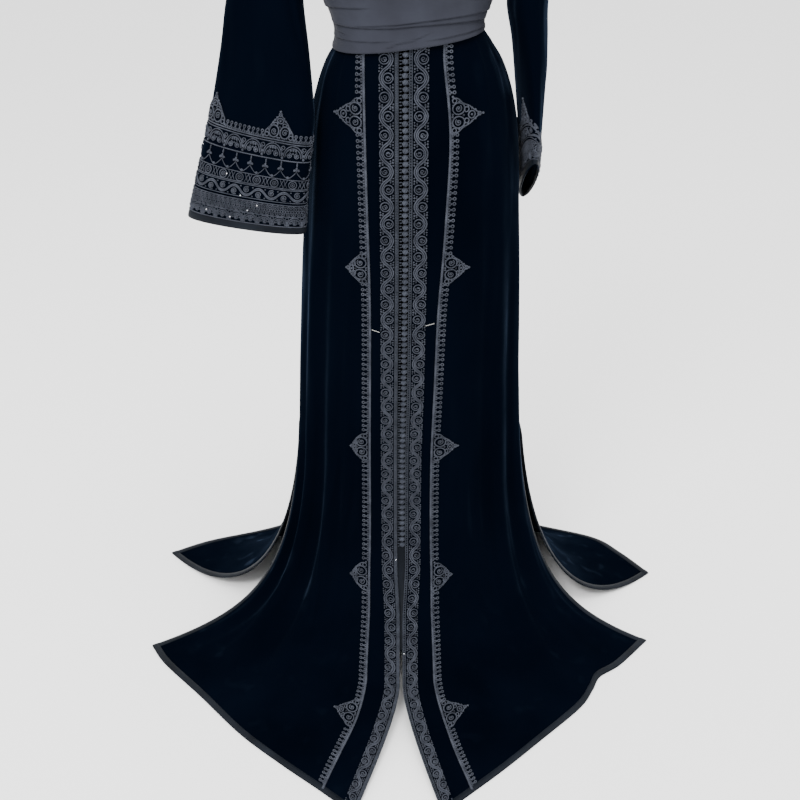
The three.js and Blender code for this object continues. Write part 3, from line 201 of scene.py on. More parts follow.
# Each sleeve's rings: its outer and inner point, its middle's y, half its depth, how far its back hangs
# lower and its outer side turns back, and how square it is.
RING_COLUMNS = "outX outZ inX inZ y depth slant turn round"
SLEEVE = {
    -1: table(RING_COLUMNS, [
        (188, 1440, 162, 1275, 0, 42, 0, 0, 2.0), (209, 1402, 164, 1259, -1, 47, 0, 0, 2.1),
        (230, 1340, 165, 1240, -3, 48, 0, 0, 2.2), (249, 1268, 165, 1212, -6, 46, 0, 0, 2.2),
        (267, 1205, 164, 1178, -11, 44, 0, 2, 2.2), (287, 1145, 165, 1138, -18, 42, 0, 6, 2.2),
        (300, 1070, 156, 1064, -40, 39, 0, 18, 2.2), (318, 985, 149, 978, -62, 36, 0, 30, 2.2),
        (327, 949, 153, 941, -70, 34, 0, 31, 2.2), (347, 874, 163, 863, -80, 31, 0, 29, 2.2),
        (367, 800, 168, 790, -86, 28, 0, 26, 2.2),
    ]),
    1: table(RING_COLUMNS, [
        (188, 1440, 162, 1275, 0, 42, 0, 0, 2.0), (207, 1402, 164, 1259, -1, 47, 0, 0, 2.1),
        (222, 1340, 163, 1236, -1, 50, 0, 0, 2.2), (230, 1268, 161, 1206, 0, 52, 0, 0, 2.2),
        (229, 1205, 158, 1172, 2, 54, 2, 0, 2.2), (221, 1140, 156, 1130, 4, 57, 6, 0, 2.2),
        (222, 1082, 166, 1080, 6, 62, 16, 0, 2.2), (223, 1024, 174, 1022, 6, 68, 34, 0, 2.2),
        (222, 985, 179, 983, 6, 73, 44, 0, 2.2), (220, 912, 188, 910, 6, 81, 52, 0, 2.2),
        (217, 838, 193, 836, 6, 88, 58, 0, 2.2),
    ]),
}
CUFF_ROW = 10
# Creases on the sleeves: angle in turns and row at each end, half-width in turns, lift in mm.
SLEEVE_CREASES = {
    -1: [
        (0.78, 1.0, 0.66, 4.6, 0.025, -2.0), (0.86, 1.4, 0.8, 5.6, 0.02, 1.8),
        (0.70, 3.2, 0.56, 6.4, 0.03, -2.4), (0.62, 4.4, 0.52, 7.2, 0.02, 1.8),
        (0.92, 4.6, 0.84, 8.6, 0.03, -1.8), (0.72, 5.6, 0.74, 8.8, 0.02, 1.4),
        (0.18, 1.2, 0.3, 5.4, 0.03, 2.0), (0.36, 2.4, 0.42, 7.6, 0.03, -2.0),
        (0.1, 4.0, 0.14, 8.6, 0.03, 1.8),
    ],
    1: [
        (0.78, 0.9, 0.68, 4.6, 0.025, 2.0), (0.88, 1.2, 0.82, 5.8, 0.02, -1.8),
        (0.64, 2.8, 0.56, 7.0, 0.03, -2.2), (0.92, 4.2, 0.9, 8.8, 0.03, 1.8),
        (0.74, 5.2, 0.76, 8.8, 0.025, -1.8), (0.2, 1.4, 0.28, 5.8, 0.03, -2.0),
        (0.34, 2.2, 0.4, 7.4, 0.03, 2.0), (0.12, 3.8, 0.16, 8.8, 0.03, -1.8),
    ],
}


# ---- the garment's surfaces ----
def spline(values, row):
    """A smooth curve through a table's column, read at fractional rows."""
    last = len(values) - 1
    i = np.clip(np.floor(row).astype(int), 0, last - 1)
    t = row - i
    p0, p1, p2, p3 = (values[np.clip(i + k, 0, last)] for k in (-1, 0, 1, 2))
    return 0.5 * (
        2 * p1 + (p2 - p0) * t + (2 * p0 - 5 * p1 + 4 * p2 - p3) * t**2 + (3 * p1 - p0 - 3 * p2 + p3) * t**3
    )


def smooth(t):
    t = np.clip(t, 0, 1)
    return t * t * (3 - 2 * t)


def mix(a, b, t):
    return a + (b - a) * t


def stack(x, y, z):
    """Points from their three coordinates."""
    return np.stack(np.broadcast_arrays(x, y, z), -1).astype(float)


def unit(v):
    return v / np.maximum(np.linalg.norm(v, axis=-1, keepdims=True), 1e-9)


def line_at(name, z):
    return np.interp(z, LINES["z"][::-1], LINES[name][::-1])


def side_end(side, row, facing):
    """Where a panel ends: round the armhole for the first rows, then down the side seam."""
    angle = np.radians(np.clip(spline(ARMS, np.minimum(row, UNDERARM)), 0, 180))
    arm = stack(
        side * (ARM_X + ARM_LEAN * np.cos(angle)),
        facing * ARM_DEEP * np.sin(angle),
        ARM_Z + ARM_HIGH * np.cos(angle),
    )
    below = np.maximum(row - UNDERARM, 0)
    z = spline(SIDE["z"], below)
    seam = stack(line_at("body", z) + side * spline(SIDE["x"], below), 0 * z, z)
    return np.where((row <= UNDERARM)[..., None], arm, seam)


def rounded(start, end, bulge, share):
    """A quarter of a rounded body section from start, in the middle, to end, at the side."""
    angle = np.clip(share, 0, 1) * math.pi / 2
    power = 2 / bulge
    return stack(
        mix(start[..., 0], end[..., 0], np.sin(angle) ** power),
        mix(end[..., 1], start[..., 1], np.maximum(0, np.cos(angle)) ** power),
        mix(start[..., 2], end[..., 2], share),
    )


def front_upper(side, share, row):
    z = spline(FRONT["z"], row)
    start = stack(line_at("front", z) + side * spline(FRONT["x"], row), spline(FRONT["y"], row), z)
    return rounded(start, side_end(side, row, -1), spline(FRONT["round"], row), share)


def back_top(share):
    """The back's upper edge: round the neck, then along the shoulder to the arm."""
    side = np.where(share < 0, -1.0, 1.0)
    across = np.abs(share)
    angle = np.clip(across / NECK_SHARE, 0, 1) * math.pi / 2
    neck = stack(
        side * NECK_X * np.sin(angle),
        mix(NECK_Y, BACK["y"][0], np.cos(angle)),
        FRONT["z"][0] - NECK_DIP * np.cos(angle),
    )
    corner = stack(side * NECK_X, NECK_Y + 0 * side, FRONT["z"][0] + 0 * side)
    tip = stack(side * (ARM_X + ARM_LEAN), 0 * side, ARM_Z + ARM_HIGH + 0 * side)
    t = np.clip((across - NECK_SHARE) / (1 - NECK_SHARE), 0, 1)[..., None]
    return np.where((across < NECK_SHARE)[..., None], neck, mix(corner, tip, t))


def back_upper(share, row):
    side = np.where(share < 0, -1.0, 1.0)
    z = spline(BACK["z"], row)
    start = stack(line_at("body", z), spline(BACK["y"], row), z)
    plain = rounded(start, side_end(side, row, 1), spline(FRONT["round"], row), np.abs(share))
    fade = smooth(row / NECK_ROWS)[..., None]
    return mix(back_top(share), plain, fade)


def sweep(start, which, share, t, near):
    """The cloth below the slits: a curve from start down over a knee and out along the floor to the hem."""
    tab = SWEEP[which]
    row = np.interp(share, tab["share"], np.arange(len(tab["share"])))
    get = {name: spline(tab[name], row) for name in tab}
    lean = np.where(start[..., 0] > 0, 0.09, 0.055)
    hem = stack(get["x"], get["y"], FLOOR_LIFT + 0 * share)
    knee_x = mix(start[..., 0], hem[..., 0], lean * np.abs(share))
    knee = stack(knee_x, start[..., 1] + SIDE_PART[which] * near, get["knee"])
    low = stack(
        mix(hem[..., 0], start[..., 0], get["reach"]),
        mix(hem[..., 1], start[..., 1], get["reach"]) + SIDE_BOW[which] * near,
        FLOOR_LIFT + get["rise"],
    )
    s = t[..., None]
    point = (1 - s) ** 3 * start + 3 * (1 - s) ** 2 * s * knee + 3 * (1 - s) * s**2 * low + s**3 * hem
    if which:
        hold = np.clip(1 - share / SPLIT_SHARE, 0, 1) ** 2
        opening = np.maximum(0, (t - SPLIT_TOP) / (1 - SPLIT_TOP)) ** 1.45
        closing = smooth((t - 0.26) / 0.2)
        held = mix(start[..., 0] - which * SPLIT_PINCH * closing, hem[..., 0], opening)
        point[..., 0] = mix(point[..., 0], held, hold)
    else:
        point[..., 0] += 5 * near * (share > 0) * smooth(t / 0.06) * (1 - t)
    return point


def base_surface(which, share, row):
    """which is -1 or 1 for a front panel, with share from 0 to 1, and 0 for the back, from -1 to 1."""
    upper_row = np.minimum(row, LAST_ROW)
    upper = front_upper(which, share, upper_row) if which else back_upper(share, upper_row)
    near = smooth((np.abs(share) - SIDE_START) / (1 - SIDE_START))
    t = np.clip((row - LAST_ROW) / SWEEP_ROWS, 0, 1)
    return np.where((row <= LAST_ROW)[..., None], upper, sweep(upper, which, share, t, near))


def first_share(which):
    return 0 if which else -1


def normal_of(surface, which, share, row, step, row_step):
    """The outward normal of a panel's surface, by differences."""
    s = np.clip(share, first_share(which) + step, 1 - step)
    r = np.clip(row, row_step, HEM_ROW - row_step)
    across = surface(which, s + step, r) - surface(which, s - step, r)
    down = surface(which, s, r + row_step) - surface(which, s, r - row_step)
    return unit(np.cross(across, down)) * (-which if which else 1)


def fold_lift(which, share, row):
    """How far the folds and creases raise the cloth."""
    lift = np.zeros_like(share)
    for a, b, top, end, width, height in FOLDS[which]:
        along = np.clip((row - top) / (end - top), 0, 1)
        fade = np.sin(math.pi * along**0.8) ** 0.75 * ((along > 0) & (along < 1))
        lift += height * fade * np.exp(-(((share - mix(a, b, along)) / width) ** 2))
    return lift


def cloth(which, share, row):
    point = base_surface(which, share, row)
    normal = normal_of(base_surface, which, share, row, 0.004, 0.004)
    point = point + normal * fold_lift(which, share, row)[..., None]
    point[..., 2] = np.maximum(point[..., 2], FLOOR_LIFT)
    return point


def cloth_normal(which, share, row):
    return normal_of(cloth, which, share, row, 0.003, 0.009)


def arc(points, axis):
    """The length along rows of points, from 0."""
    steps = np.linalg.norm(np.diff(points, axis=axis), axis=-1)
    zero = np.zeros_like(np.take(steps, [0], axis=axis))
    return np.concatenate([zero, np.cumsum(steps, axis=axis)], axis=axis)


# ---- meshes ----
def world(points):
    return (points - np.array([0, 0, SHOULDER_HEIGHT])) * 0.001


class Mesh:
    """Vertices, quads and a UV for each vertex: u along a cord in metres, v round it in turns."""

    def __init__(self):
        self.points, self.quads, self.uvs, self.count = [], [], [], 0

    def add(self, points, quads, uvs=None):
        points = np.asarray(points, float).reshape(-1, 3)
        self.points.append(points)
        self.quads.append(np.asarray(quads, np.int64).reshape(-1, 4) + self.count)
        self.uvs.append(np.zeros((len(points), 2)) if uvs is None else np.asarray(uvs, float).reshape(-1, 2))
        self.count += len(points)

    def to_object(self, name, material, nodes, slot):
        points = np.concatenate(self.points)
        quads = np.concatenate(self.quads)
        uvs = np.concatenate(self.uvs)
        mesh = bpy.data.meshes.new(name)
        mesh.vertices.add(len(points))
        mesh.vertices.foreach_set("co", world(points).astype(np.float32).ravel())
        mesh.loops.add(quads.size)
        mesh.loops.foreach_set("vertex_index", quads.ravel().astype(np.int32))
        mesh.polygons.add(len(quads))
        mesh.polygons.foreach_set("loop_start", np.arange(0, quads.size, 4, dtype=np.int32))
        mesh.update(calc_edges=True)
        layer = mesh.uv_layers.new(name="UVMap")
        layer.data.foreach_set("uv", uvs[quads.ravel()].astype(np.float32).ravel())
        mesh.validate()
        mesh.shade_smooth()
        mesh.materials.append(material)
        obj = bpy.data.objects.new(name, mesh)
        bpy.context.scene.collection.objects.link(obj)
        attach(obj, "root")
        if nodes:
            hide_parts(*nodes)
        return obj


def grid_quads(rows, columns, ring=False, start=0):
    i = np.arange(rows - 1)[:, None]
    j = np.arange(columns if ring else columns - 1)[None, :]
    k = (j + 1) % columns
    a, b = i * columns + j, (i + 1) * columns + j
    c, d = (i + 1) * columns + k, i * columns + k
    return np.stack(np.broadcast_arrays(a, b, c, d), -1).reshape(-1, 4) + start


def shell(mesh, outer, inner, ring, flip, uv=None):
    """A thin wall between two grids of points."""
    rows, columns = outer.shape[:2]
    back = rows * columns
    quads = [grid_quads(rows, columns, ring), grid_quads(rows, columns, ring, back)[:, ::-1]]
    j = np.arange(columns if ring else columns - 1)
    k = (j + 1) % columns
    quads.append(np.stack([j, k, k + back, j + back], -1))
    last = (rows - 1) * columns
    quads.append(np.stack([j + last, j + last + back, k + last + back, k + last], -1))
    if not ring:
        i = np.arange(rows - 1) * columns
        n = i + columns
        quads.append(np.stack([i, i + back, n + back, n], -1))
        e = columns - 1
        quads.append(np.stack([i + e, n + e, n + e + back, i + e + back], -1))
    quads = np.concatenate(quads)
    if flip:
        quads = quads[:, ::-1]
    uvs = None if uv is None else np.concatenate([uv.reshape(-1, 2)] * 2)
    mesh.add(np.concatenate([outer.reshape(-1, 3), inner.reshape(-1, 3)]), quads, uvs)


def capped(rows, sides):
    """The quads of an open tube with an even number of sides, and a cap at each end."""
    fan = np.array([[0, k, k + 1, k + 2] for k in range(1, sides - 1, 2)])
    return np.concatenate([grid_quads(rows, sides, True), fan, fan[:, ::-1] + (rows - 1) * sides])


def tubes(mesh, points, normals, width, height, sides=6, closed=False):
    """Tubes through points of shape (how many, samples, 3), flat side on the cloth."""
    points = points.reshape(-1, *points.shape[-2:])
    normals = normals.reshape(points.shape)
    many, samples = points.shape[:2]
    tangent = np.roll(points, -1, 1) - np.roll(points, 1, 1) if closed else np.gradient(points, axis=1)
    across = unit(np.cross(unit(tangent), normals))
    up = np.cross(across, unit(tangent))
    angle = 2 * math.pi * (np.arange(sides) + 0.5) / sides
    width, height = (np.broadcast_to(a, (many, samples))[..., None, None] for a in (width, height))
    rings = points[:, :, None] + across[:, :, None] * np.cos(angle)[:, None] * width / 2
    rings = rings + up[:, :, None] * np.sin(angle)[:, None] * height / 2
    length = arc(points, 1) * 0.001
    uv = np.stack(np.broadcast_arrays(length[..., None], (angle / (2 * math.pi))[None, None]), -1)
    one = grid_quads(samples + 1, sides, True) % (samples * sides) if closed else capped(samples, sides)
    quads = one[None] + (np.arange(many) * samples * sides)[:, None, None]
    mesh.add(rings, quads, uv)


def ball(cuts):
    """A unit ball from a cube's faces, each cut into cuts by cuts quads."""
    line = np.tan(np.linspace(-1, 1, cuts + 1) * math.pi / 4)
    a, b = np.meshgrid(line, line, indexing="ij")
    points, quads = [], []
    for axis in range(3):
        for sign in (-1, 1):
            p = np.zeros((*a.shape, 3))
            p[..., axis] = sign
            p[..., (axis + 1) % 3] = a
            p[..., (axis + 2) % 3] = b
            faces = grid_quads(cuts + 1, cuts + 1, start=len(points) * (cuts + 1) ** 2)
            quads.append(faces[:, ::-1] if sign < 0 else faces)
            points.append(p.reshape(-1, 3))
    points, quads = unit(np.concatenate(points)), np.concatenate(quads)
    _, first, inverse = np.unique(np.round(points, 6), axis=0, return_index=True, return_inverse=True)
    return points[first], inverse.reshape(-1)[quads]


BALL = ball(2)
FINE_BALL = ball(4)


def stamp(mesh, shape, centres, x_axis, y_axis, z_axis):
    """Copies of a shape, each with its own three scaled axes."""
    points, quads = shape
    placed = (
        centres[:, None]
        + points[None, :, :1] * x_axis[:, None]
        + points[None, :, 1:2] * y_axis[:, None]
        + points[None, :, 2:] * z_axis[:, None]
    )
    handed = np.einsum("ij,ij->i", np.cross(x_axis, y_axis), z_axis) < 0
    all_quads = quads[None] + (np.arange(len(centres)) * len(points))[:, None, None]
    all_quads = np.where(handed[:, None, None], all_quads[..., ::-1], all_quads)
    uv = np.stack([points[:, 0] * 0.003, np.arctan2(points[:, 2], points[:, 1]) / (2 * math.pi)], -1)
    mesh.add(placed, all_quads, np.broadcast_to(uv, (len(centres), *uv.shape)))


class Patch:
    """Part of a cloth's outer face, read by length along it and distance across it, in mm."""

    def __init__(self, lengths, distances, points, normals, ring=False):
        self.lengths, self.distances, self.ring = lengths, distances, ring
        self.points, self.normals = points, normals

    def at(self, length, distance):
        length, distance = np.broadcast_arrays(np.asarray(length, float), np.asarray(distance, float))
        if self.ring:
            length = np.mod(length, self.lengths[-1])
        rows, columns = self.points.shape[:2]
        i = np.interp(length, self.lengths, np.arange(rows))
        j = np.interp(distance, self.distances, np.arange(columns))
        i0, j0 = np.minimum(i.astype(int), rows - 2), np.minimum(j.astype(int), columns - 2)
        s, t = (i - i0)[..., None], (j - j0)[..., None]

        def read(grid):
            upper = mix(grid[i0, j0], grid[i0, j0 + 1], t)
            return mix(upper, mix(grid[i0 + 1, j0], grid[i0 + 1, j0 + 1], t), s)

        return read(self.points), unit(read(self.normals))


def columns_of(*values):
    """Values as columns of one height, with a row for each cord."""
    return [np.asarray(a, float).reshape(-1, 1) for a in np.broadcast_arrays(*values)]


class Trim(Mesh):
    """Cords and knots on a patch, placed by length along it and distance across it."""

    def __init__(self, patch):
        super().__init__()
        self.patch = patch

    def cords(self, length, distance, width, height, sides=6, closed=False, lift=0.0):
        points, normals = self.patch.at(length, distance)
        points = points + normals * (np.asarray(height)[..., None] / 2 + lift)
        tubes(self, points, normals, width, height, sides, closed)

    def knots(self, length, distance, along, across, height, lift=0.0, turn=0.0):
        """Balls with these half sizes along the patch, across it and out of it."""
        length, distance = (a.ravel() for a in columns_of(length, distance))
        points, normals = self.patch.at(length, distance)
        ahead, _ = self.patch.at(length + 1.5, distance)
        behind, _ = self.patch.at(length - 1.5, distance)
        beside = unit(np.cross(normals, unit(ahead - behind + 1e-6)))
        tangent = np.cross(beside, normals)
        x = tangent * np.cos(turn) + beside * np.sin(turn)
        y = np.cross(normals, x)
        along, across, height = (np.broadcast_to(a, length.shape)[:, None] for a in (along, across, height))
        stamp(self, BALL, points + normals * (height * 0.7 + lift), x * along, y * across, normals * height)

    def knot_rows(self, *rows):
        for row in rows:
            self.knots(*row)

    def curls(self, length, distance, outer, inner, turns, start, way, width, height, samples):
        """Spirals round these places, each from its outer to its inner radius."""
        t = np.linspace(0, 1, samples)[None]
        length, distance, start, way, outer, inner = columns_of(length, distance, start, way, outer, inner)
        radius = mix(outer, inner, t**0.85)
        angle = start + way * turns * 2 * math.pi * t
        self.cords(length + radius * np.cos(angle), distance + radius * np.sin(angle), width, height, 4)

    def rings(self, length, distance, radius, width, height, samples, sides, stretch=1.0):
        t = np.arange(samples)[None] / samples * 2 * math.pi
        length, distance, radius = columns_of(length, distance, radius)
        across = distance + stretch * radius * np.sin(t)
        self.cords(length + radius * np.cos(t), across, width, height, sides, True)


# ---- materials ----
class Shader:
    """A material of one Principled shader with the nodes that feed it."""

    def __init__(self, name, **values):
        self.material = bpy.data.materials.new(name)
        self.material.use_nodes = True
        self.nodes, self.links = self.material.node_tree.nodes, self.material.node_tree.links
        self.main = self.nodes["Principled BSDF"]
        for key, value in values.items():
            self.main.inputs[key.replace("_", " ")].default_value = value

    def node(self, kind, settings=(), **inputs):
        """A node; an input is named by its label with underscores, or by i and its number."""
        node = self.nodes.new(kind)
        for key, value in dict(settings).items():
            setattr(node, key, value)
        for key, value in inputs.items():
            numbered = key[0] == "i" and key[1:].isdigit()
            socket = node.inputs[int(key[1:]) if numbered else key.replace("_", " ")]
            if isinstance(value, bpy.types.NodeSocket):
                self.links.new(value, socket)
            else:
                socket.default_value = value
        return node

    def calc(self, operation, *values):
        inputs = {f"i{k}": value for k, value in enumerate(values)}
        return self.node("ShaderNodeMath", {"operation": operation}, **inputs).outputs[0]

    def noise(self, scale, detail=3.0, stretch=(1, 1, 1)):
        place = self.node("ShaderNodeTexCoord").outputs["Object"]
        mapped = self.node("ShaderNodeMapping", Vector=place, Scale=stretch).outputs[0]
        return self.node("ShaderNodeTexNoise", Vector=mapped, Scale=scale, Detail=detail).outputs["Fac"]

    def range(self, value, low, high, to_low, to_high):
        ends = {"From_Min": low, "From_Max": high, "To_Min": to_low, "To_Max": to_high}
        return self.node("ShaderNodeMapRange", Value=value, **ends).outputs[0]

    def blend(self, factor, a, b):
        return self.node("ShaderNodeMix", {"data_type": "RGBA"}, i0=factor, i6=(*a, 1), i7=(*b, 1)).outputs[2]

    def uv_wave(self, along, around):
        """Ridges on a cord: along and around are ridges per metre and per turn."""
        uv = self.node("ShaderNodeTexCoord").outputs["UV"]
        u, v = self.node("ShaderNodeSeparateXYZ", i0=uv).outputs[:2]
        u = self.calc("MULTIPLY", u, along * 2 * math.pi)
        v = self.calc("MULTIPLY", v, around * 2 * math.pi)
        return self.calc("SINE", self.calc("ADD", u, v))

    def bump(self, height, strength, distance, after=None):
        inputs = {"Height": height, "Strength": strength, "Distance": distance}
        if after is not None:
            inputs["Normal"] = after
        return self.node("ShaderNodeBump", **inputs).outputs[0]

    def feed(self, **sources):
        for key, value in sources.items():
            self.links.new(value, self.main.inputs[key.replace("_", " ")])
        return self.material


def velvet_material():
    looks = {"Roughness": 0.95, "Specular_IOR_Level": 0.0, "Sheen_Roughness": 0.36}
    s = Shader("velvet", **looks, Sheen_Tint=(0.24, 0.36, 0.6, 1))
    crushed = s.noise(5.0, 4.0, (1.0, 1.0, 0.35))
    pile = s.noise(1400.0, 2.0)
    patch = s.noise(26.0, 3.0, (1.0, 1.0, 0.5))
    colour = s.blend(s.range(crushed, 0.3, 0.7, 0, 1), (0.0003, 0.0009, 0.0024), (0.0008, 0.0018, 0.0044))
    streak = s.range(s.noise(30.0, 1.0, (1.0, 1.0, 0.07)), 0.60, 0.74, 0.0, 0.3)
    plain = s.range(patch, 0.3, 0.75, 0.03, 0.066)
    weight = s.calc("MULTIPLY_ADD", streak, patch, plain)
    first = s.bump(patch, 0.25, 0.0015)
    normal = s.bump(pile, 0.35, 0.0004, first)
    return s.feed(Base_Color=colour, Sheen_Weight=weight, Normal=normal)


def cord_material(name, dark, light, ribs, around):
    s = Shader(name, Roughness=0.6, Specular_IOR_Level=0.08, Sheen_Weight=0.02, Sheen_Roughness=0.5)
    wave = s.uv_wave(ribs, around)
    tone = s.noise(70.0, 3.0)
    # The rib wave also darkens the colour in the troughs between ribs and lightens it on their crests, which
    # is painted shade and painted highlight; the tone noise is the cord's own uneven colour.
    tone_and_painted_rib_shade = s.calc("MULTIPLY_ADD", wave, 0.25, tone)
    colour = s.blend(s.range(tone_and_painted_rib_shade, 0.2, 0.85, 0, 1), dark, light)
    thread = s.noise(2600.0, 1.0)
    normal = s.bump(wave, 0.6, 0.0004, s.bump(thread, 0.25, 0.0002))
    return s.feed(Base_Color=colour, Normal=normal)


def satin_material(name, dark, light, rough, ribs):
    s = Shader(name, Roughness=rough, Specular_IOR_Level=0.06, Sheen_Weight=0.015, Sheen_Roughness=0.4)
    tone = s.noise(18.0, 4.0)
    weave = s.noise(1900.0, 1.0)
    colour = s.blend(s.range(tone, 0.3, 0.7, 0, 1), dark, light)
    wave = s.uv_wave(ribs, 0.0)
    normal = s.bump(wave, 0.35, 0.0003, s.bump(weave, 0.2, 0.0002))
    return s.feed(Base_Color=colour, Normal=normal)


VELVET_LOOK = velvet_material()
CORD_LOOK = cord_material("cord", (0.010, 0.012, 0.018), (0.056, 0.062, 0.080), 520.0, 1.0)
RIB_LOOK = cord_material("ribbed_cord", (0.010, 0.012, 0.017), (0.036, 0.041, 0.054), 620.0, 0.0)
KNOT_LOOK = cord_material("knot_cord", (0.012, 0.014, 0.020), (0.046, 0.052, 0.068), 700.0, 2.0)
BINDING_LOOK = satin_material("binding_satin", (0.002, 0.003, 0.005), (0.006, 0.008, 0.012), 0.5, 420.0)
BELT_LOOK = satin_material("belt_satin", (0.018, 0.019, 0.026), (0.024, 0.026, 0.035), 0.75, 0.0)
THREAD_LOOK = Shader("thread", Roughness=0.6, Base_Color=(0.42, 0.42, 0.4, 1)).material
GLINT_LOOK = Shader("glint", Roughness=0.2, Metallic=1.0, Base_Color=(0.75, 0.76, 0.8, 1)).material

# ---- the velvet panels ----
UPPER_ROWS = np.concatenate([np.linspace(0, 4, 13)[:-1], np.linspace(4, LAST_ROW, 80)])
ROWS = np.concatenate([UPPER_ROWS, LAST_ROW + SWEEP_ROWS * np.linspace(0, 1, 72)[1:]])


def panel_shares(which, row, distances_of):
    """The shares at which a row of the panel has these distances from its start."""
    share = np.linspace(first_share(which), 1, 121)
    points = cloth(which, share, np.full_like(share, row))
    lengths = arc(points, 0)
    return np.interp(distances_of(lengths[-1]), lengths, share)


def panel_gaps(which, row):
    """How far the velvet stays back from the panel's start and end, where cord or binding covers them."""
    side = SEAM_GAP if row <= LAST_ROW else SLIT_GAP
    return EDGE_GAP if which else side, side


def velvet_panel(which, columns):
    """A panel's wall of velvet, inwards from the cloth's outer face."""

    def distances(row):
        start, end = panel_gaps(which, row)
        return lambda total: mix(start, total - end, np.linspace(0, 1, columns))

    shares = np.array([panel_shares(which, row, distances(row)) for row in ROWS])
    rows = np.broadcast_to(ROWS[:, None], shares.shape)
    outer = cloth(which, shares, rows)
    normals = cloth_normal(which, shares, rows)
    mesh = Mesh()
    shell(mesh, outer, outer - normals * VELVET, False, which <= 0, np.stack([shares, rows / HEM_ROW], -1))
    return mesh


def velvet_piece(mesh, node):
    return mesh.to_object(node + "_velvet", VELVET_LOOK, [node], "velvet")


front_right = velvet_piece(velvet_panel(-1, 84), "front_right")
front_left = velvet_piece(velvet_panel(1, 84), "front_left")
back_panel = velvet_piece(velvet_panel(0, 150), "back")


# ---- the trim down the fronts ----
def cycle(values, count):
    """The values over and over, count in all."""
    return np.resize(np.array(values), count)


def front_patch(which):
    """The strip of a front that its trim lies on, with the lengths of the armhole's end and the hem."""
    sleeve_rows = np.linspace(0, UNDERARM, 41)[:-1]
    rows = np.concatenate([sleeve_rows, np.linspace(UNDERARM, HEM_ROW, 701)])
    distances = np.arange(0.0, PATCH_WIDTH, PATCH_STEP)
    shares = np.array([panel_shares(which, row, lambda total: distances) for row in rows])
    grid_rows = np.broadcast_to(rows[:, None], shares.shape)
    points, normals = cloth(which, shares, grid_rows), cloth_normal(which, shares, grid_rows)
    lengths = arc(points[:, int(PATCH_LINE / PATCH_STEP)], 0)
    patch = Patch(lengths, distances, points, normals)
    patch.side = which
    patch.top, patch.end = lengths[len(sleeve_rows)], lengths[-1]
    patch.heights = points[:, int(MOTIF_LINE / PATCH_STEP), 2]
    step = np.interp(rows, LACE_LINE["row"], np.arange(len(LACE_LINE["row"])))
    patch.line = spline(LACE_LINE["right" if which < 0 else "left"], step)
    return patch


PATCHES = {which: front_patch(which) for which in (-1, 1)}


def length_at_height(patch, height):
    return float(np.interp(-height, -patch.heights, patch.lengths))


def edge_cords(patch):
    """A wide ribbed cord on the right front's edge; on the left one two thin cords crossed by stitches."""
    trim = Trim(patch)
    if patch.side < 0:
        along = np.arange(0, patch.end - 1, 1.3)
        rib = cycle((3.5, 1.8), len(along))
        trim.cords(along[None], CORD_WIDTH / 2, CORD_WIDTH, rib[None], 8, lift=-0.3)
        return trim
    along = np.arange(0, patch.end - 1, 3.5)[None]
    for distance in (1.4, 5.4):
        trim.cords(along, distance, 2.2, 2.2, lift=-0.2)
    cross = np.arange(patch.top, patch.end - 6, 4.4)[:, None]
    share = np.linspace(0, 1, 4)[None]
    for start, end in ((0.7, 6.1), (6.1, 0.7)):
        trim.cords(cross + 4.0 * share, mix(start, end, share), 1.5, 1.3, 4, lift=0.7)
    return trim


def scroll_turns(first, last):
    """The lengths at which the scroll's wave turns: its bays shorten towards the hem."""
    turns = [first]
    while turns[-1] < last:
        turns.append(turns[-1] + mix(*SCROLL_HALF, (turns[-1] - first) / (last - first)))
    return np.array(turns[:-1])


def scroll_band(patch):
    """A double cord that waves from side to side, a ringed curl in every bay and knots in the corners."""
    trim = Trim(patch)
    first, last = patch.top + 6, patch.end - 6
    turns = scroll_turns(first, last)
    count, steps = len(turns), 12
    phase = np.linspace(0, count - 1, (count - 1) * steps + 1)
    along = np.interp(phase, np.arange(count), turns)
    width = mix(*SCROLL_WIDTH, (along - first) / (last - first))
    swing = np.cos(math.pi * phase)
    swing = np.sign(swing) * np.abs(swing) ** 0.8
    across = SCROLL_START + width / 2 + (width / 2 - 3.1) * swing
    slope = np.gradient(across, along)
    lean = 1 / np.sqrt(1 + slope**2)
    for offset in (-1.55, 1.55):
        trim.cords((along - offset * slope * lean)[None], (across + offset * lean)[None], 2.6, 3.1)
    wide = mix(*SCROLL_WIDTH, (turns - first) / (last - first))
    scale = wide / SCROLL_WIDTH[0]
    side = cycle((-1.0, 1.0), count)
    middle = SCROLL_START + wide / 2 + side * 2.9 * scale
    trim.rings(turns, middle, 8.1 * scale, 2.2, 2.5, 20, 5)
    start = np.where(side > 0, -0.8, 0.8) * math.pi / 2 + math.pi
    trim.curls(turns, middle, 5.3 * scale, 2.0 * scale, 1.1, start, -side, 1.8, 2.3, 20)
    trim.knots(turns + 1.2 * side, middle - side * 0.9, 1.8 * scale, 1.8 * scale, 1.9)
    half = np.interp(turns, turns[:-1], np.diff(turns))
    uneven = cycle((1.0, 1.1, 0.92), count)
    # share of the bay, share of the width from the band's middle, size
    corners = ((0.36, 0.44, 1.8), (0.52, 0.42, 2.2), (0.67, 0.44, 1.8), (0.49, 0.27, 1.7), (0.6, 0.26, 1.7))
    for share, reach, size in corners:
        for way in (-1, 1):
            place = turns + half * (share if way > 0 else 1 - share)
            radius = 0.9 * size * scale * uneven
            trim.knots(place, SCROLL_START + wide * (0.5 - way * side * reach), radius, radius, 1.6)
    return trim


# Knots on each side of a pointed motif: along the cloth, out from its base, radius.
MOTIF_KNOTS = (
    (28.6, 2.4, 2.2), (20.8, 13.6, 2.1), (16.8, 21.4, 2.0), (13.4, 27.8, 2.0), (10.0, 34.4, 2.0),
    (6.8, 40.4, 1.9), (1.8, 2.4, 1.8), (0.0, 20.6, 1.9), (15.6, 3.0, 1.6),
)


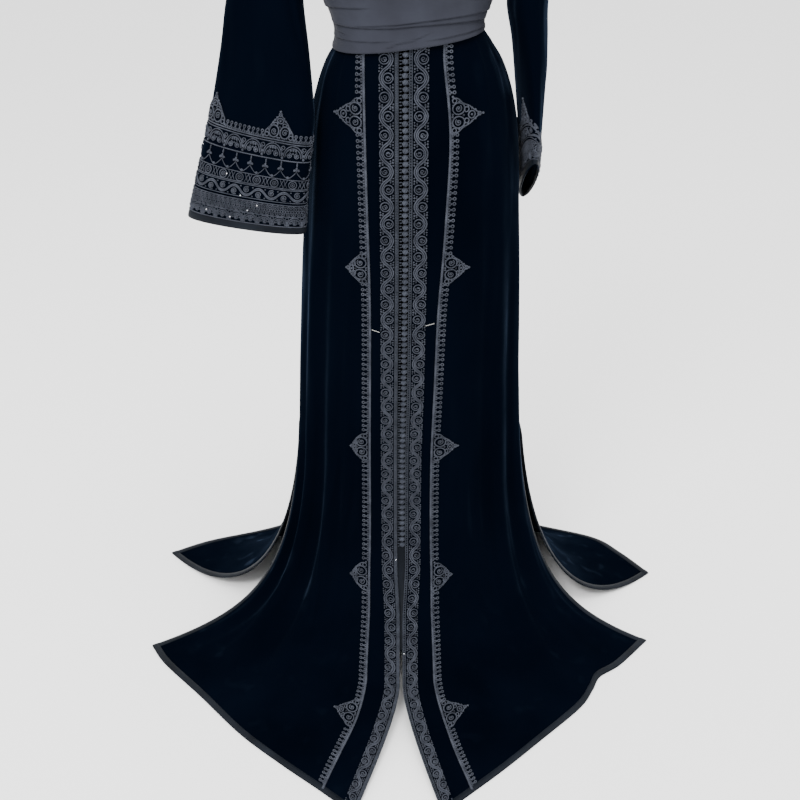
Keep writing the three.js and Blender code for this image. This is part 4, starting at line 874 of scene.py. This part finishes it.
def pointed_motif(trim, centre, base, reach, size):
    """A triangle of couched cord: two wide rings with curls at its base, one above, knots on its sides."""
    high = (reach - 20) / 35.0

    def stretched(distance):
        return np.where(distance < 20, distance, 20 + (distance - 20) * high)

    def place(way, length, distance):
        return centre + way * length * size, base + stretched(distance)

    for way in (-1, 1):
        wide = place(way, 10.4, 12.2)
        trim.rings(*wide, 8.9 * size, 2.5, 2.6, 22, 5, stretch=1.12 / size)
        trim.curls(*wide, 5.6, 2.2, 1.15, way * 0.6 + math.pi, way, 2.1, 2.4, 24)
        trim.knots(*wide, 1.9, 1.9, 2.0)
        trim.rings(*place(way, 22.6, 5.4), 3.5, 2.2, 2.3, 16, 6)
        trim.rings(*place(way, 8.6, 25.4), 3.7, 2.2, 2.3, 16, 6, stretch=max(0.6, high))
        t = np.linspace(0, 1, 16)[None]
        side_line = 27.5 * (1 - t) ** 0.9 + 3.4 * np.sin(math.pi * t * 2.5) ** 2 * (1 - t)
        trim.cords(*place(way, side_line, 3.0 + 45.5 * t), 2.2, 2.3)
        for along, out, radius in MOTIF_KNOTS:
            trim.knots(*place(way, along, out), radius, radius, 1.8)
    upper, tip, end = (place(1, 0.0, out) for out in (34.0, 47.6, 54.2))
    trim.rings(*upper, 5.6, 2.4, 2.5, 20, 6, stretch=max(0.5, high))
    trim.knots(*upper, 2.1, 2.1, 2.1)
    trim.rings(*tip, 2.8, 2.1, 2.2, 14, 6)
    trim.knots(*end, 2.1, 2.3, 1.9)


def picots(trim, places, base):
    """A small ring on a stem of knots at each place."""
    trim.rings(places, base + 8.8, 2.2, 2.2, 2.2, 10, 5)
    trim.knot_rows(
        (places - 2.2, base + 1.2, 1.9, 1.8, 1.5),
        (places + 2.2, base + 1.2, 1.9, 1.8, 1.5),
        (places, base + 4.1, 1.9, 2.2, 1.6),
    )


def loop_lace(patch):
    """A flat cord with small rings on its outer side, and pointed motifs."""
    trim = Trim(patch)
    first, last = patch.top + 12, patch.end - 4

    def line(length):
        return np.interp(length, patch.lengths, patch.line)

    along = np.arange(first, last, 3.0)
    trim.cords(along[None], (line(along) + FLAT_CORD / 2)[None], FLAT_CORD, 2.0, 8)
    heights = [length_at_height(patch, height) for height in MOTIFS["height"][:-1]]
    motifs = np.array(heights + [heights[-1] + MOTIF_ON_FLOOR])
    places = np.arange(first + 4, last - 4, PICOT_PITCH)
    free = np.min(np.abs(places[:, None] - motifs[None]) / MOTIFS["size"], axis=1) > MOTIF_ROOM
    free &= places < patch.end - 14
    places = places[free] + cycle((0.0, 0.4, -0.3, 0.2, -0.4), free.sum())
    picots(trim, places, line(places) + FLAT_CORD)
    reach = MOTIFS["right" if patch.side < 0 else "left"]
    for centre, far, size in zip(motifs, reach, MOTIFS["size"]):
        pointed_motif(trim, centre, line(centre) + FLAT_CORD, far, size)
    return trim


def knot_column():
    """Round knots beside the left front's edge, each with a pair of loops from the right one's cord."""
    mesh = Mesh()
    right, left = PATCHES[-1], PATCHES[1]
    first, last = right.top + 4, length_at_height(right, KNOT_LOWEST)
    along = np.arange(first, last, KNOT_PITCH)
    a, normal_a = right.at(along, 0.0)
    b, normal_b = left.at(along, 0.0)
    across = unit(b - a)
    gap = np.linalg.norm(b - a, axis=-1)[:, None]
    out = unit(normal_a + normal_b)
    down = np.cross(across, out)
    down *= np.sign(-down[:, 2:3])
    radius = np.minimum(KNOT_WIDE, gap / 2 - 0.9)
    shift = np.minimum(2.2, gap * 0.15)
    wobble = cycle((0.0, 0.4, -0.3, 0.2, -0.2, 0.3, -0.4), len(along))[:, None]
    middle = (a + b) / 2 + across * (shift + wobble)
    points, quads = FINE_BALL
    around = np.arctan2(points[:, 2], points[:, 0])
    twist = 1 + 0.07 * np.sin(3 * around + 4.5 * points[:, 1])
    twisted = (points * twist[:, None], quads)
    stamp(mesh, twisted, middle + out * 1.9, across * radius, down * KNOT_LONG, out * KNOT_DEEP)
    loop = np.minimum(2.6, gap / 4)
    for drop in (-2.4, 2.4):
        stamp(mesh, BALL, a + across * loop + down * drop + out * 0.2, across * loop, down * 1.3, out * 1.1)
        stamp(mesh, BALL, b - across * 0.4 + down * drop + out * 0.6, across * 1.4, down * 1.1, out * 1.0)
    return mesh


for which, word in ((-1, "right"), (1, "left")):
    patch = PATCHES[which]
    edge_cords(patch).to_object("edge_cords_" + word, RIB_LOOK, ["edge_braid_" + word], "braid")
    scroll_band(patch).to_object("scroll_cords_" + word, CORD_LOOK, ["scroll_band_" + word], "braid")
    loop_lace(patch).to_object("loop_cords_" + word, CORD_LOOK, ["loop_lace_" + word], "braid")
knots = knot_column().to_object("knot_column", KNOT_LOOK, ["knot_row"], "braid")


def placket():
    """A strip of satin behind the fronts' edges, which closes the gap below the lowest knot."""
    right, left = PATCHES[-1], PATCHES[1]
    first = length_at_height(right, KNOT_LOWEST + 260)
    along = np.arange(first, length_at_height(right, 62.0), 5.0)
    (a, normal_a), (b, normal_b) = (patch.at(along, 1.5) for patch in (right, left))
    under = -unit(normal_a + normal_b)
    share = np.linspace(0, 1, 7)[None, :, None]
    outer = mix(b[:, None], a[:, None], share) + under[:, None] * (3.4 + 1.2 * np.sin(math.pi * share))
    mesh = Mesh()
    shell(mesh, outer, outer + under[:, None] * 1.2, False, False)
    return mesh


underlap = placket().to_object("front_left_underlap", BINDING_LOOK, [], "satin")


# ---- satin bindings on the slits and hems ----
# Sections of the bindings: share of the width, from the cloth to the edge, and height over the cloth.
HEM_TOP, HEM_UNDER = 1.0, -VELVET - 1.0
HEM_SECTION = [
    (0.0, 0.35), (0.03, HEM_TOP), (0.5, HEM_TOP * 1.15), (0.88, HEM_TOP), (0.985, HEM_TOP * 0.35),
    (1.0, (HEM_TOP + HEM_UNDER) / 2), (0.985, HEM_UNDER * 0.9), (0.88, HEM_UNDER), (0.4, HEM_UNDER),
    (0.02, HEM_UNDER), (0.0, HEM_UNDER + 0.6), (0.02, -VELVET * 0.5),
]
CUFF_TOP, CUFF_UNDER = 0.9, -VELVET - 0.9
CUFF_SECTION = [
    (0.0, 0.2), (0.04, CUFF_TOP), (0.5, CUFF_TOP * 1.2), (0.9, CUFF_TOP), (1.0, -0.8),
    (0.9, CUFF_UNDER), (0.5, CUFF_UNDER), (0.0, CUFF_UNDER),
]


def fold_over(mesh, outer, inner, normals, shape, flip, ring=False):
    """A strip folded round an edge: outer lies on the edge, inner a binding's width into the cloth."""
    grid = np.stack([inner + (outer - inner) * share + normals * height for share, height in shape], 1)
    grid[..., 2] = np.maximum(grid[..., 2], 0.15)
    if ring:
        grid = np.concatenate([grid, grid[:1]])
    rows, columns = grid.shape[:2]
    quads = grid_quads(rows, columns, True) if ring else capped(rows, columns)
    length = arc(grid[:, 2] if ring else outer, 0)[:, None] * 0.001
    uv = np.stack(np.broadcast_arrays(length, np.linspace(0, 1, columns)[None]), -1)
    mesh.add(grid, quads[:, ::-1] if flip else quads, uv)


def edge_of(which, rows, at_start):
    """Points on the slit's edge and a binding's width inside it, with normals."""

    def pair(total):
        return [0.0, BINDING] if at_start else [total, total - BINDING]

    outer, inner = np.array([panel_shares(which, row, pair) for row in rows]).T
    return cloth(which, outer, rows), cloth(which, inner, rows), cloth_normal(which, inner, rows)


def hem_of(which, count):
    """Points on the hem and a binding's width above it, with normals."""
    shares = panel_shares(which, HEM_ROW, lambda total: np.linspace(HEM_INSET, total - HEM_INSET, count))
    outer = cloth(which, shares, np.full_like(shares, HEM_ROW))
    above = cloth(which, shares, np.full_like(shares, HEM_ROW - 0.8))
    inner = outer + unit(above - outer) * BINDING
    return outer, inner, cloth_normal(which, shares, np.full_like(shares, HEM_ROW - 0.4))


def binding(which):
    """The satin on a panel's slit edges and hem; the back has a slit edge on both sides."""
    mesh = Mesh()
    slit_rows = np.linspace(LAST_ROW + 0.25, HEM_ROW, 110)
    for at_start in [False] if which else [True, False]:
        fold_over(mesh, *edge_of(which, slit_rows, at_start), HEM_SECTION, at_start or which > 0)
    fold_over(mesh, *hem_of(which, 110 if which else 210), HEM_SECTION, which <= 0)
    return mesh


BINDINGS = {
    which: binding(which).to_object("binding_" + word, BINDING_LOOK, ["hem_binding_" + word], "satin")
    for which, word in ((-1, "right"), (1, "left"), (0, "back"))
}


# ---- the braid on the back of the neck ----
def neck_cord():
    """A cord that stands on the edge of the back's neck, and a thin one below it."""
    mesh = Mesh()
    share = np.linspace(-NECK_SHARE, NECK_SHARE, 80)
    top = cloth(0, share, 0 * share)
    below = cloth(0, share, 0 * share + 0.3)
    up = unit(top - below)
    normals = cloth_normal(0, share, 0 * share)
    tubes(mesh, top + up * 3.2 - normals * 0.8, up, 2.6, 5.4, 8)
    tubes(mesh, top + normals * 0.9 - up * 1.6, normals, 1.7, 1.6, 6)
    return mesh


neck = neck_cord().to_object("neck_cords", RIB_LOOK, ["neck_braid_back"], "braid")


# ---- sleeves ----
def sleeve_point(side, row, turn):
    tab = SLEEVE[side]
    get = {name: spline(tab[name], row) for name in tab}
    angle = turn * 2 * math.pi
    power = 2 / get["round"]
    c = np.sign(np.cos(angle)) * np.abs(np.cos(angle)) ** power
    s = np.sign(np.sin(angle)) * np.abs(np.sin(angle)) ** power
    return stack(
        side * (get["outX"] + get["inX"]) / 2 + side * (get["outX"] - get["inX"]) / 2 * c,
        get["y"] + get["turn"] * c + get["depth"] * s,
        (get["outZ"] + get["inZ"]) / 2 + (get["outZ"] - get["inZ"]) / 2 * c - get["slant"] * s,
    )


def sleeve_normal(side, row, turn, surface=sleeve_point):
    step = 0.002
    row = np.clip(row, 2 * step, CUFF_ROW - 2 * step)
    around = surface(side, row, turn + step) - surface(side, row, turn - step)
    down = surface(side, row + 2 * step, turn) - surface(side, row - 2 * step, turn)
    return unit(np.cross(around, down)) * -side


def sleeve_cloth(side, row, turn):
    lift = np.zeros(np.broadcast(row, turn).shape)
    for t0, r0, t1, r1, width, height in SLEEVE_CREASES[side]:
        along = np.clip((row - r0) / (r1 - r0), 0, 1)
        fade = np.sin(math.pi * along) ** 0.8
        off = np.mod(turn - mix(t0, t1, along) + 0.5, 1) - 0.5
        lift = lift + height * fade * np.exp(-((off / width) ** 2))
    return sleeve_point(side, row, turn) + sleeve_normal(side, row, turn) * lift[..., None]


def sleeve_grid(side, rows, turns):
    row, turn = np.meshgrid(rows, turns, indexing="ij")
    return sleeve_cloth(side, row, turn), sleeve_normal(side, row, turn, sleeve_cloth)


SLEEVE_TURNS = (np.arange(112) + 0.5) / 112


def sleeve_shell(side):
    rows = np.concatenate([[0.03], np.linspace(0.12, CUFF_ROW, 84)])
    outer, normals = sleeve_grid(side, rows, SLEEVE_TURNS)
    mesh = Mesh()
    shell(mesh, outer, outer - normals * VELVET, True, side < 0)
    return mesh


# The share by which the bands narrow at the cuff's outer side and at the body: the left one is turned under.
CUFF_FALL = {-1: (0.0, 0.1), 1: (0.66, 0.0)}
# The face that carries the bands: its height up the sleeve, and the row up to which the sleeve is read.
CUFF_FACE, CUFF_FACE_ROW = 262.0, 5.6
# The top of the bands over the hem, and the turns round the cuff at which the pointed motifs stand.
LACE_TOP = {-1: 167.0, 1: 83.0}
SPIRES = {-1: (0.18, 0.42, 0.65, 0.955), 1: (0.15, 0.4, 0.65, 0.9)}


def cuff_patch(side):
    """The cuff's face: length runs round the hem, distance up the sleeve from it."""
    turns = np.linspace(0, 1, 241)
    outward = 0.5 + 0.5 * np.cos(turns * 2 * math.pi)
    narrow = 1 - CUFF_FALL[side][0] * outward - CUFF_FALL[side][1] * (1 - outward)
    rows = np.linspace(CUFF_ROW, CUFF_FACE_ROW, 120)
    points, normals = sleeve_grid(side, rows, turns)
    up = arc(points, 0)
    distances = np.arange(0.0, CUFF_FACE, 3.0)
    grid_points = np.empty((len(turns), len(distances), 3))
    grid_normals = np.empty_like(grid_points)
    for k in range(len(turns)):
        for axis in range(3):
            grid_points[k, :, axis] = np.interp(distances * narrow[k], up[:, k], points[:, k, axis])
            grid_normals[k, :, axis] = np.interp(distances * narrow[k], up[:, k], normals[:, k, axis])
    return Patch(arc(points[0], 0), distances, grid_points, unit(grid_normals), ring=True)


def cuff_binding(side):
    outer, normals = (grid[0] for grid in sleeve_grid(side, np.array([CUFF_ROW]), SLEEVE_TURNS))
    above = sleeve_grid(side, np.array([CUFF_ROW - 0.2]), SLEEVE_TURNS)[0][0]
    inner = outer + unit(above - outer) * BINDING
    mesh = Mesh()
    fold_over(mesh, outer, inner, normals, CUFF_SECTION, side > 0, ring=True)
    return mesh


def repeats(patch, pitch):
    """Evenly spaced lengths all round, as near to a pitch as fits, and the pitch that they have."""
    count = max(2, int(round(patch.lengths[-1] / pitch)))
    count += count % 2
    return np.arange(count) * patch.lengths[-1] / count, patch.lengths[-1] / count


def around(trim, distance, width, height):
    """A cord all round the cuff."""
    count = int(trim.patch.lengths[-1] / 3.0)
    along = np.arange(count) * trim.patch.lengths[-1] / count
    trim.cords(along[None], distance, width, height, closed=True)


def scallops(trim):
    """Dense lace: large arches with a curl and knots in each, and two rows of small rings above."""
    for distance in (13.8, 32.0, 53.0):
        around(trim, distance, 1.8, 1.8)
    big, pitch = repeats(trim.patch, 27.0)
    t = np.linspace(0, math.pi, 20)[None]
    for radius, high in ((0.47, 15.5), (0.38, 12.2)):
        trim.cords(big[:, None] + pitch * radius * np.cos(t), 15.5 + high * np.sin(t), 1.8, 2.2)
    trim.curls(big, 20.6, 4.6, 1.6, 1.4, 0.0, 1, 1.7, 2.0, 22)
    for k in range(5):
        angle = math.pi * (0.12 + 0.19 * k)
        trim.knots(big + pitch * 0.27 * math.cos(angle), 17 + 9.6 * math.sin(angle), 1.3, 1.3, 1.3)
    between = big + pitch / 2
    trim.rings(between, 28.2, 2.7, 1.6, 1.9, 12, 5)
    small, step = repeats(trim.patch, 9.0)
    shifted = small + step / 2
    trim.rings(small, 36.6, 3.3, 1.6, 1.9, 10, 4)
    trim.rings(shifted, 46.6, 3.6, 1.6, 1.9, 10, 4)
    trim.knot_rows(
        (big, 20.6, 1.7, 1.7, 1.6),
        (between, 17.0, 2.2, 2.2, 1.8),
        (between, 22.5, 1.7, 2.6, 1.6),
        (small, 36.6, 1.4, 1.4, 1.4),
        (shifted, 40.5, 1.5, 1.7, 1.5),
        (shifted, 46.6, 1.5, 1.5, 1.5),
        (small, 42.6, 1.6, 1.5, 1.5),
        (small, 50.6, 1.8, 1.4, 1.4),
    )


def curled_wave(trim):
    """A double cord that waves round the cuff, with a curl in every bay."""
    centre, steps = 69.0, 12
    turns, half = repeats(trim.patch, 24.0)
    t = np.arange(len(turns) * steps) / steps
    swing = np.cos(math.pi * t)
    across = centre + 6.6 * np.sign(swing) * np.abs(swing) ** 0.85
    for offset in (-1.3, 1.3):
        trim.cords((t * half)[None], (across + offset)[None], 2.1, 2.4, closed=True)
    side = cycle((-1.0, 1.0), len(turns))
    trim.curls(turns, centre + side * 2.8, 6.0, 1.9, 1.6, math.pi - side * 0.9, -side, 1.8, 2.1, 26)
    trim.knots(turns, centre + side * 2.8, 1.8, 1.8, 1.7)
    for way in (-1, 1):
        trim.knots(turns + half / 2, centre + way * side * 7.6, 1.5, 1.3, 1.3)
    for distance in (58.0, 80.6):
        around(trim, distance, 1.5, 1.5)


def ring_net(trim):
    """Double rings with a net of crossed cords between them."""
    big, pitch = repeats(trim.patch, 35.0)
    trim.rings(big, 91.0, 6.8, 1.8, 2.1, 20, 6)
    trim.rings(big, 91.0, 3.4, 1.5, 1.8, 12, 5)
    trim.knots(big, 91.0, 1.5, 1.5, 1.5)
    net, gap = repeats(trim.patch, pitch / 5)
    net = net[np.abs(np.mod(net - big[0] + pitch / 2, pitch) - pitch / 2) > 8.0]
    t = np.linspace(0, 1, 6)[None]
    for lean in (-1, 1):
        trim.cords(net[:, None] + lean * gap * (t - 0.5), 84.5 + 14.0 * t, 1.2, 1.4, 4)
    trim.knots(net, 91.5, 1.2, 1.2, 1.2)
    for distance in (83.0, 99.5):
        around(trim, distance, 1.6, 1.6)


def trefoil_arches(trim):
    """Thin arches in the open velvet, each with a trefoil on it."""
    arch, span = repeats(trim.patch, 28.5)
    t = np.linspace(-1, 1, 15)[None]
    trim.cords(arch[:, None] + span * 0.5 * t, 102.0 + 13.0 * (1 - np.abs(t)) ** 1.6, 1.4, 1.6)
    trim.knot_rows(
        (arch + span / 2, 103.5, 2.6, 2.4, 2.0),
        (arch, 119.5, 1.9, 4.0, 1.9),
        (arch, 127.0, 1.2, 4.4, 1.2),
    )
    for way in (-1, 1):
        trim.knots(arch + way * 3.3, 117.5, 2.5, 2.2, 1.8, turn=way * 0.6)


def palmettes(trim):
    """Wide half rings, each with a curl at each side of a bud."""
    for distance in (132.5, 161.5):
        around(trim, distance, 2.0, 1.9)
    wide, width = repeats(trim.patch, 39.0)
    between = wide + width / 2
    t = np.linspace(0.04, 0.96, 22)[None] * math.pi
    for radius, high in ((0.46, 24.0), (0.385, 20.0)):
        trim.cords(wide[:, None] + width * radius * np.cos(t), 135.0 + high * np.sin(t) ** 0.8, 1.9, 2.2)
    for way in (-1, 1):
        trim.curls(wide + way * 7.0, 142.4, 5.2, 1.7, 1.5, math.pi / 2, way, 1.8, 2.1, 24)
        trim.knots(wide + way * 7.0, 142.4, 1.7, 1.7, 1.6)
        trim.knots(wide + way * 4.4, 151.4, 1.7, 2.6, 1.7, turn=-way * 0.5)
    trim.knot_rows(
        (wide, 152.5, 1.9, 3.2, 1.9),
        (wide, 146.0, 1.5, 1.7, 1.5),
        (between, 137.0, 2.1, 2.6, 1.7),
        (between, 143.5, 1.7, 2.6, 1.6),
    )
    trim.curls(between, 153.6, 4.8, 1.6, 1.3, -math.pi / 2, 1, 1.8, 2.0, 22)


def cuff_lace(side):
    """Bands from the binding up. The left cuff is turned under, so it has only the lower ones."""
    trim = Trim(cuff_patch(side))
    scallops(trim)
    curled_wave(trim)
    if side < 0:
        ring_net(trim)
        trefoil_arches(trim)
        palmettes(trim)
    top, total = LACE_TOP[side], trim.patch.lengths[-1]
    around(trim, top - 1.5, 2.6, 1.7)
    loops, _ = repeats(trim.patch, PICOT_PITCH)
    spires = np.array(SPIRES[side]) * total
    gap = np.abs(np.mod(loops[:, None] - spires[None] + total / 2, total) - total / 2)
    picots(trim, loops[np.min(gap, axis=1) > 26], top)
    for centre in spires:
        pointed_motif(trim, centre, top, 46.0, 0.98)
    return trim


for side, word in ((-1, "right"), (1, "left")):
    binding_node, lace_node = "cuff_binding_" + word, "cuff_lace_" + word
    velvet_piece(sleeve_shell(side), "sleeve_" + word)
    cuff_binding(side).to_object("cuff_binding_satin_" + word, BINDING_LOOK, [binding_node], "satin")
    cuff_lace(side).to_object("cuff_cords_" + word, CORD_LOOK, [lace_node], "braid")

# ---- the belt ----
BELT_LOW, BELT_TILT, BELT_TALL = 1084.0, 0.126, 112.0
# The rows that the belt lies between.
BELT_ROWS = (5.0, 14.0)
# Folds of the wound cloth: degrees round from the front and share of the height at each end, the swing of
# the line's middle, how wide the fold bulges above its line as a share, and how far it stands out in mm.
BELT_FOLDS = [
    (-100, 0.36, 96, 0.08, 0.09, 0.10, 3.2), (-44, 0.37, 100, 0.20, 0.05, 0.08, 2.6),
    (-98, 0.50, -16, 0.60, 0.05, 0.09, 2.6), (-94, 0.16, 2, 0.13, 0.02, 0.07, 2.0),
    (4, 0.08, 88, 0.03, 0.02, 0.06, 2.2), (-10, 0.03, 12, 0.19, 0.0, 0.05, 1.4),
    (-70, 0.28, -48, 0.24, 0.0, 0.05, 1.6), (40, 0.52, 110, 0.42, 0.02, 0.09, 2.2),
    (-60, 0.74, 70, 0.70, 0.04, 0.08, 2.6), (-110, 0.86, 30, 0.88, -0.03, 0.08, 2.4),
    (64, 0.86, 150, 0.74, 0.02, 0.08, 2.2), (92, 0.22, 240, 0.40, -0.03, 0.09, 2.8),
    (96, 0.58, 214, 0.64, 0.04, 0.08, 2.4), (110, 0.10, 190, 0.16, 0.02, 0.07, 2.0),
    (170, 0.84, 262, 0.88, 0.02, 0.08, 2.4), (196, 0.26, 262, 0.34, 0.0, 0.06, 2.0),
    (206, 0.52, 264, 0.48, 0.03, 0.08, 2.4), (128, 0.90, 176, 0.94, 0.0, 0.05, 1.6),
]


def belt_relief(degrees, share):
    """How far the folds stand out of the plain band: each rises softly above its line and drops at it."""
    relief = np.zeros(np.broadcast(degrees, share).shape)
    for start, start_share, end, end_share, swing, width, out in BELT_FOLDS:
        along = (np.mod(degrees - start + 90, 360) - 90) / (end - start)
        line = mix(start_share, end_share, along) + swing * np.sin(math.pi * np.clip(along, 0, 1))
        fade = smooth(along / 0.2) * smooth((1 - along) / 0.2)
        above = (share - line) / width
        rise = smooth(above / 0.12) * np.exp(-np.maximum(above, 0) * 1.1)
        relief += 1.45 * out * fade * (rise - 0.5 * np.exp(-np.abs(above - 0.02) * 5.0))
    return relief


def body_ring(height, angle):
    """The body's surface at heights and directions, found by halving."""
    front = np.cos(angle) < 0
    side = np.where(np.sin(angle) < 0, -1.0, 1.0)
    across = np.abs(np.arctan2(np.sin(angle), np.abs(np.cos(angle)))) / (math.pi / 2)

    def surface(row):
        faces = np.where(
            (side > 0)[..., None], front_upper(1.0, across, row), front_upper(-1.0, across, row)
        )
        return np.where(front[..., None], faces, back_upper(side * across, row))

    low, high = (np.full(np.shape(height), row) for row in BELT_ROWS)
    for _ in range(24):
        middle = (low + high) / 2
        above = surface(middle)[..., 2] > height
        low, high = np.where(above, middle, low), np.where(above, high, middle)
    return surface(low)


def belt():
    count, levels = 180, 96
    angle = ((np.arange(count) + 0.5) / count * 2 * math.pi)[:, None]
    share = np.linspace(0, 1, levels)[None]
    facing = np.maximum(0, -np.cos(angle)) ** 2
    gap = mix(3.4, 7.0, facing)
    degrees = np.degrees(np.arctan2(np.sin(angle), -np.cos(angle)))
    edge = 1.2 * smooth(share / 0.025) * smooth((1 - share) / 0.025)
    out = np.clip(edge + belt_relief(degrees, share), -1.6, 6.6)
    out = out + 0.22 * np.sin(angle * 9 + share * 14) * np.sin(math.pi * share)
    out = out + 0.15 * np.sin(angle * 23 - share * 31)
    base = body_ring(np.full((count, 1), BELT_LOW), angle)[..., 0]
    z = BELT_LOW + BELT_TILT * base + share * BELT_TALL
    spread = np.broadcast_to(angle, z.shape)
    direction = stack(np.sin(spread), np.cos(spread), 0 * spread)
    body = body_ring(z, spread)
    outer = body + direction * (gap + 1.4 + out)[..., None]
    inner = body + direction * (gap + out * 0.72)[..., None]
    mesh = Mesh()
    uv = np.stack(np.broadcast_arrays(spread * 0.13, share), -1)
    outer, inner, uv = (np.swapaxes(a, 0, 1) for a in (outer, inner, uv))
    shell(mesh, outer, inner, True, False, uv)
    return mesh


belt_piece = belt().to_object("belt_pleated", BELT_LOOK, ["belt"], "belt_satin")


# ---- tacking threads and glints ----
def threads():
    """A short tack on each side of the closure, from its height and the distances of its ends."""
    mesh = Trim(None)
    for which, height, start, end in ((-1, 627, 31.5, 45), (1, 639, 29.5, 45)):
        mesh.patch = PATCHES[which]
        t = np.linspace(0, 1, 10)[None]
        length = length_at_height(mesh.patch, height) + 4 * (1 - t)
        mesh.cords(length, mix(start, end, t), 0.75, 0.75, lift=0.4)
    return mesh


thread_piece = threads().to_object("tacking_threads", THREAD_LOOK, [], "braid")


def glints():
    """Small bright beads: turn round the right cuff and distance up it, or height and distance on a front."""
    mesh = Trim(cuff_patch(-1))
    total = mesh.patch.lengths[-1]
    spots = [(0.70, 47), (0.735, 36), (0.80, 20), (0.84, 92), (0.9, 24), (0.77, 60), (0.2, 40), (0.4, 25)]
    for turn, up in spots:
        mesh.knots(turn * total, up, 1.3, 1.3, 1.1, lift=1.6)
    for which, height, distance in ((-1, 182, 2.5), (1, 60, 3.0), (1, 1290, 75)):
        mesh.patch = PATCHES[which]
        mesh.knots(length_at_height(mesh.patch, height), distance, 1.2, 1.2, 1.0, lift=1.2)
    return mesh


glints().to_object("glints", GLINT_LOOK, [], "braid")


# ---- floor, light and camera ----
FLOOR_HALF = 40.0
SKY_STRENGTH = 2.1
CAMERA_PLACE, CAMERA_TILT, CAMERA_LENS = (-0.014, -2.10, 0.07), 28.33, 58.055


def floor():
    s = Shader("floor_paper", Roughness=0.85, Specular_IOR_Level=0.15)
    s.feed(Base_Color=s.blend(s.noise(0.7, 2.0), (0.93, 0.93, 0.93), (0.95, 0.95, 0.95)))
    mesh = bpy.data.meshes.new("floor")
    z = -SHOULDER_HEIGHT * 0.001
    corners = [(x * FLOOR_HALF, y * FLOOR_HALF, z) for x, y in ((-1, -1), (1, -1), (1, 1), (-1, 1))]
    mesh.from_pydata(corners, [], [(0, 1, 2, 3)])
    mesh.materials.append(s.material)
    obj = bpy.data.objects.new("floor", mesh)
    bpy.context.scene.collection.objects.link(obj)


def area_light(name, place, target, size, power):
    light = bpy.data.lights.new(name, "AREA")
    light.shape = "RECTANGLE"
    light.size, light.size_y = size
    light.energy = power
    obj = bpy.data.objects.new(name, light)
    bpy.context.scene.collection.objects.link(obj)
    obj.location = place
    direction = np.array(target) - np.array(place)
    pitch = math.atan2(math.hypot(direction[0], direction[1]), -direction[2])
    turn = math.atan2(direction[1], direction[0]) - math.pi / 2
    obj.rotation_euler = (pitch, 0, turn)


floor()
area_light("key", (-1.1, -2.4, 1.8), (0, -0.1, -0.5), (1.3, 1.0), 120)
area_light("top", (0.4, -0.4, 2.8), (0, 0, -1.0), (2.6, 2.6), 110)
world_look = bpy.data.worlds.new("studio")
world_look.use_nodes = True
sky = world_look.node_tree.nodes["Background"]
sky.inputs["Color"].default_value = (1, 1, 1, 1)
sky.inputs["Strength"].default_value = SKY_STRENGTH
bpy.context.scene.world = world_look

camera_data = bpy.data.cameras.new("camera")
camera_data.lens = CAMERA_LENS
camera_data.sensor_width = 36.0
camera = bpy.data.objects.new("camera", camera_data)
bpy.context.scene.collection.objects.link(camera)
camera.location = CAMERA_PLACE
camera.rotation_euler = (math.radians(90 - CAMERA_TILT), 0, 0)
bpy.context.scene.camera = camera


def plain(box):
    return [[float(x) for x in corner] for corner in box]
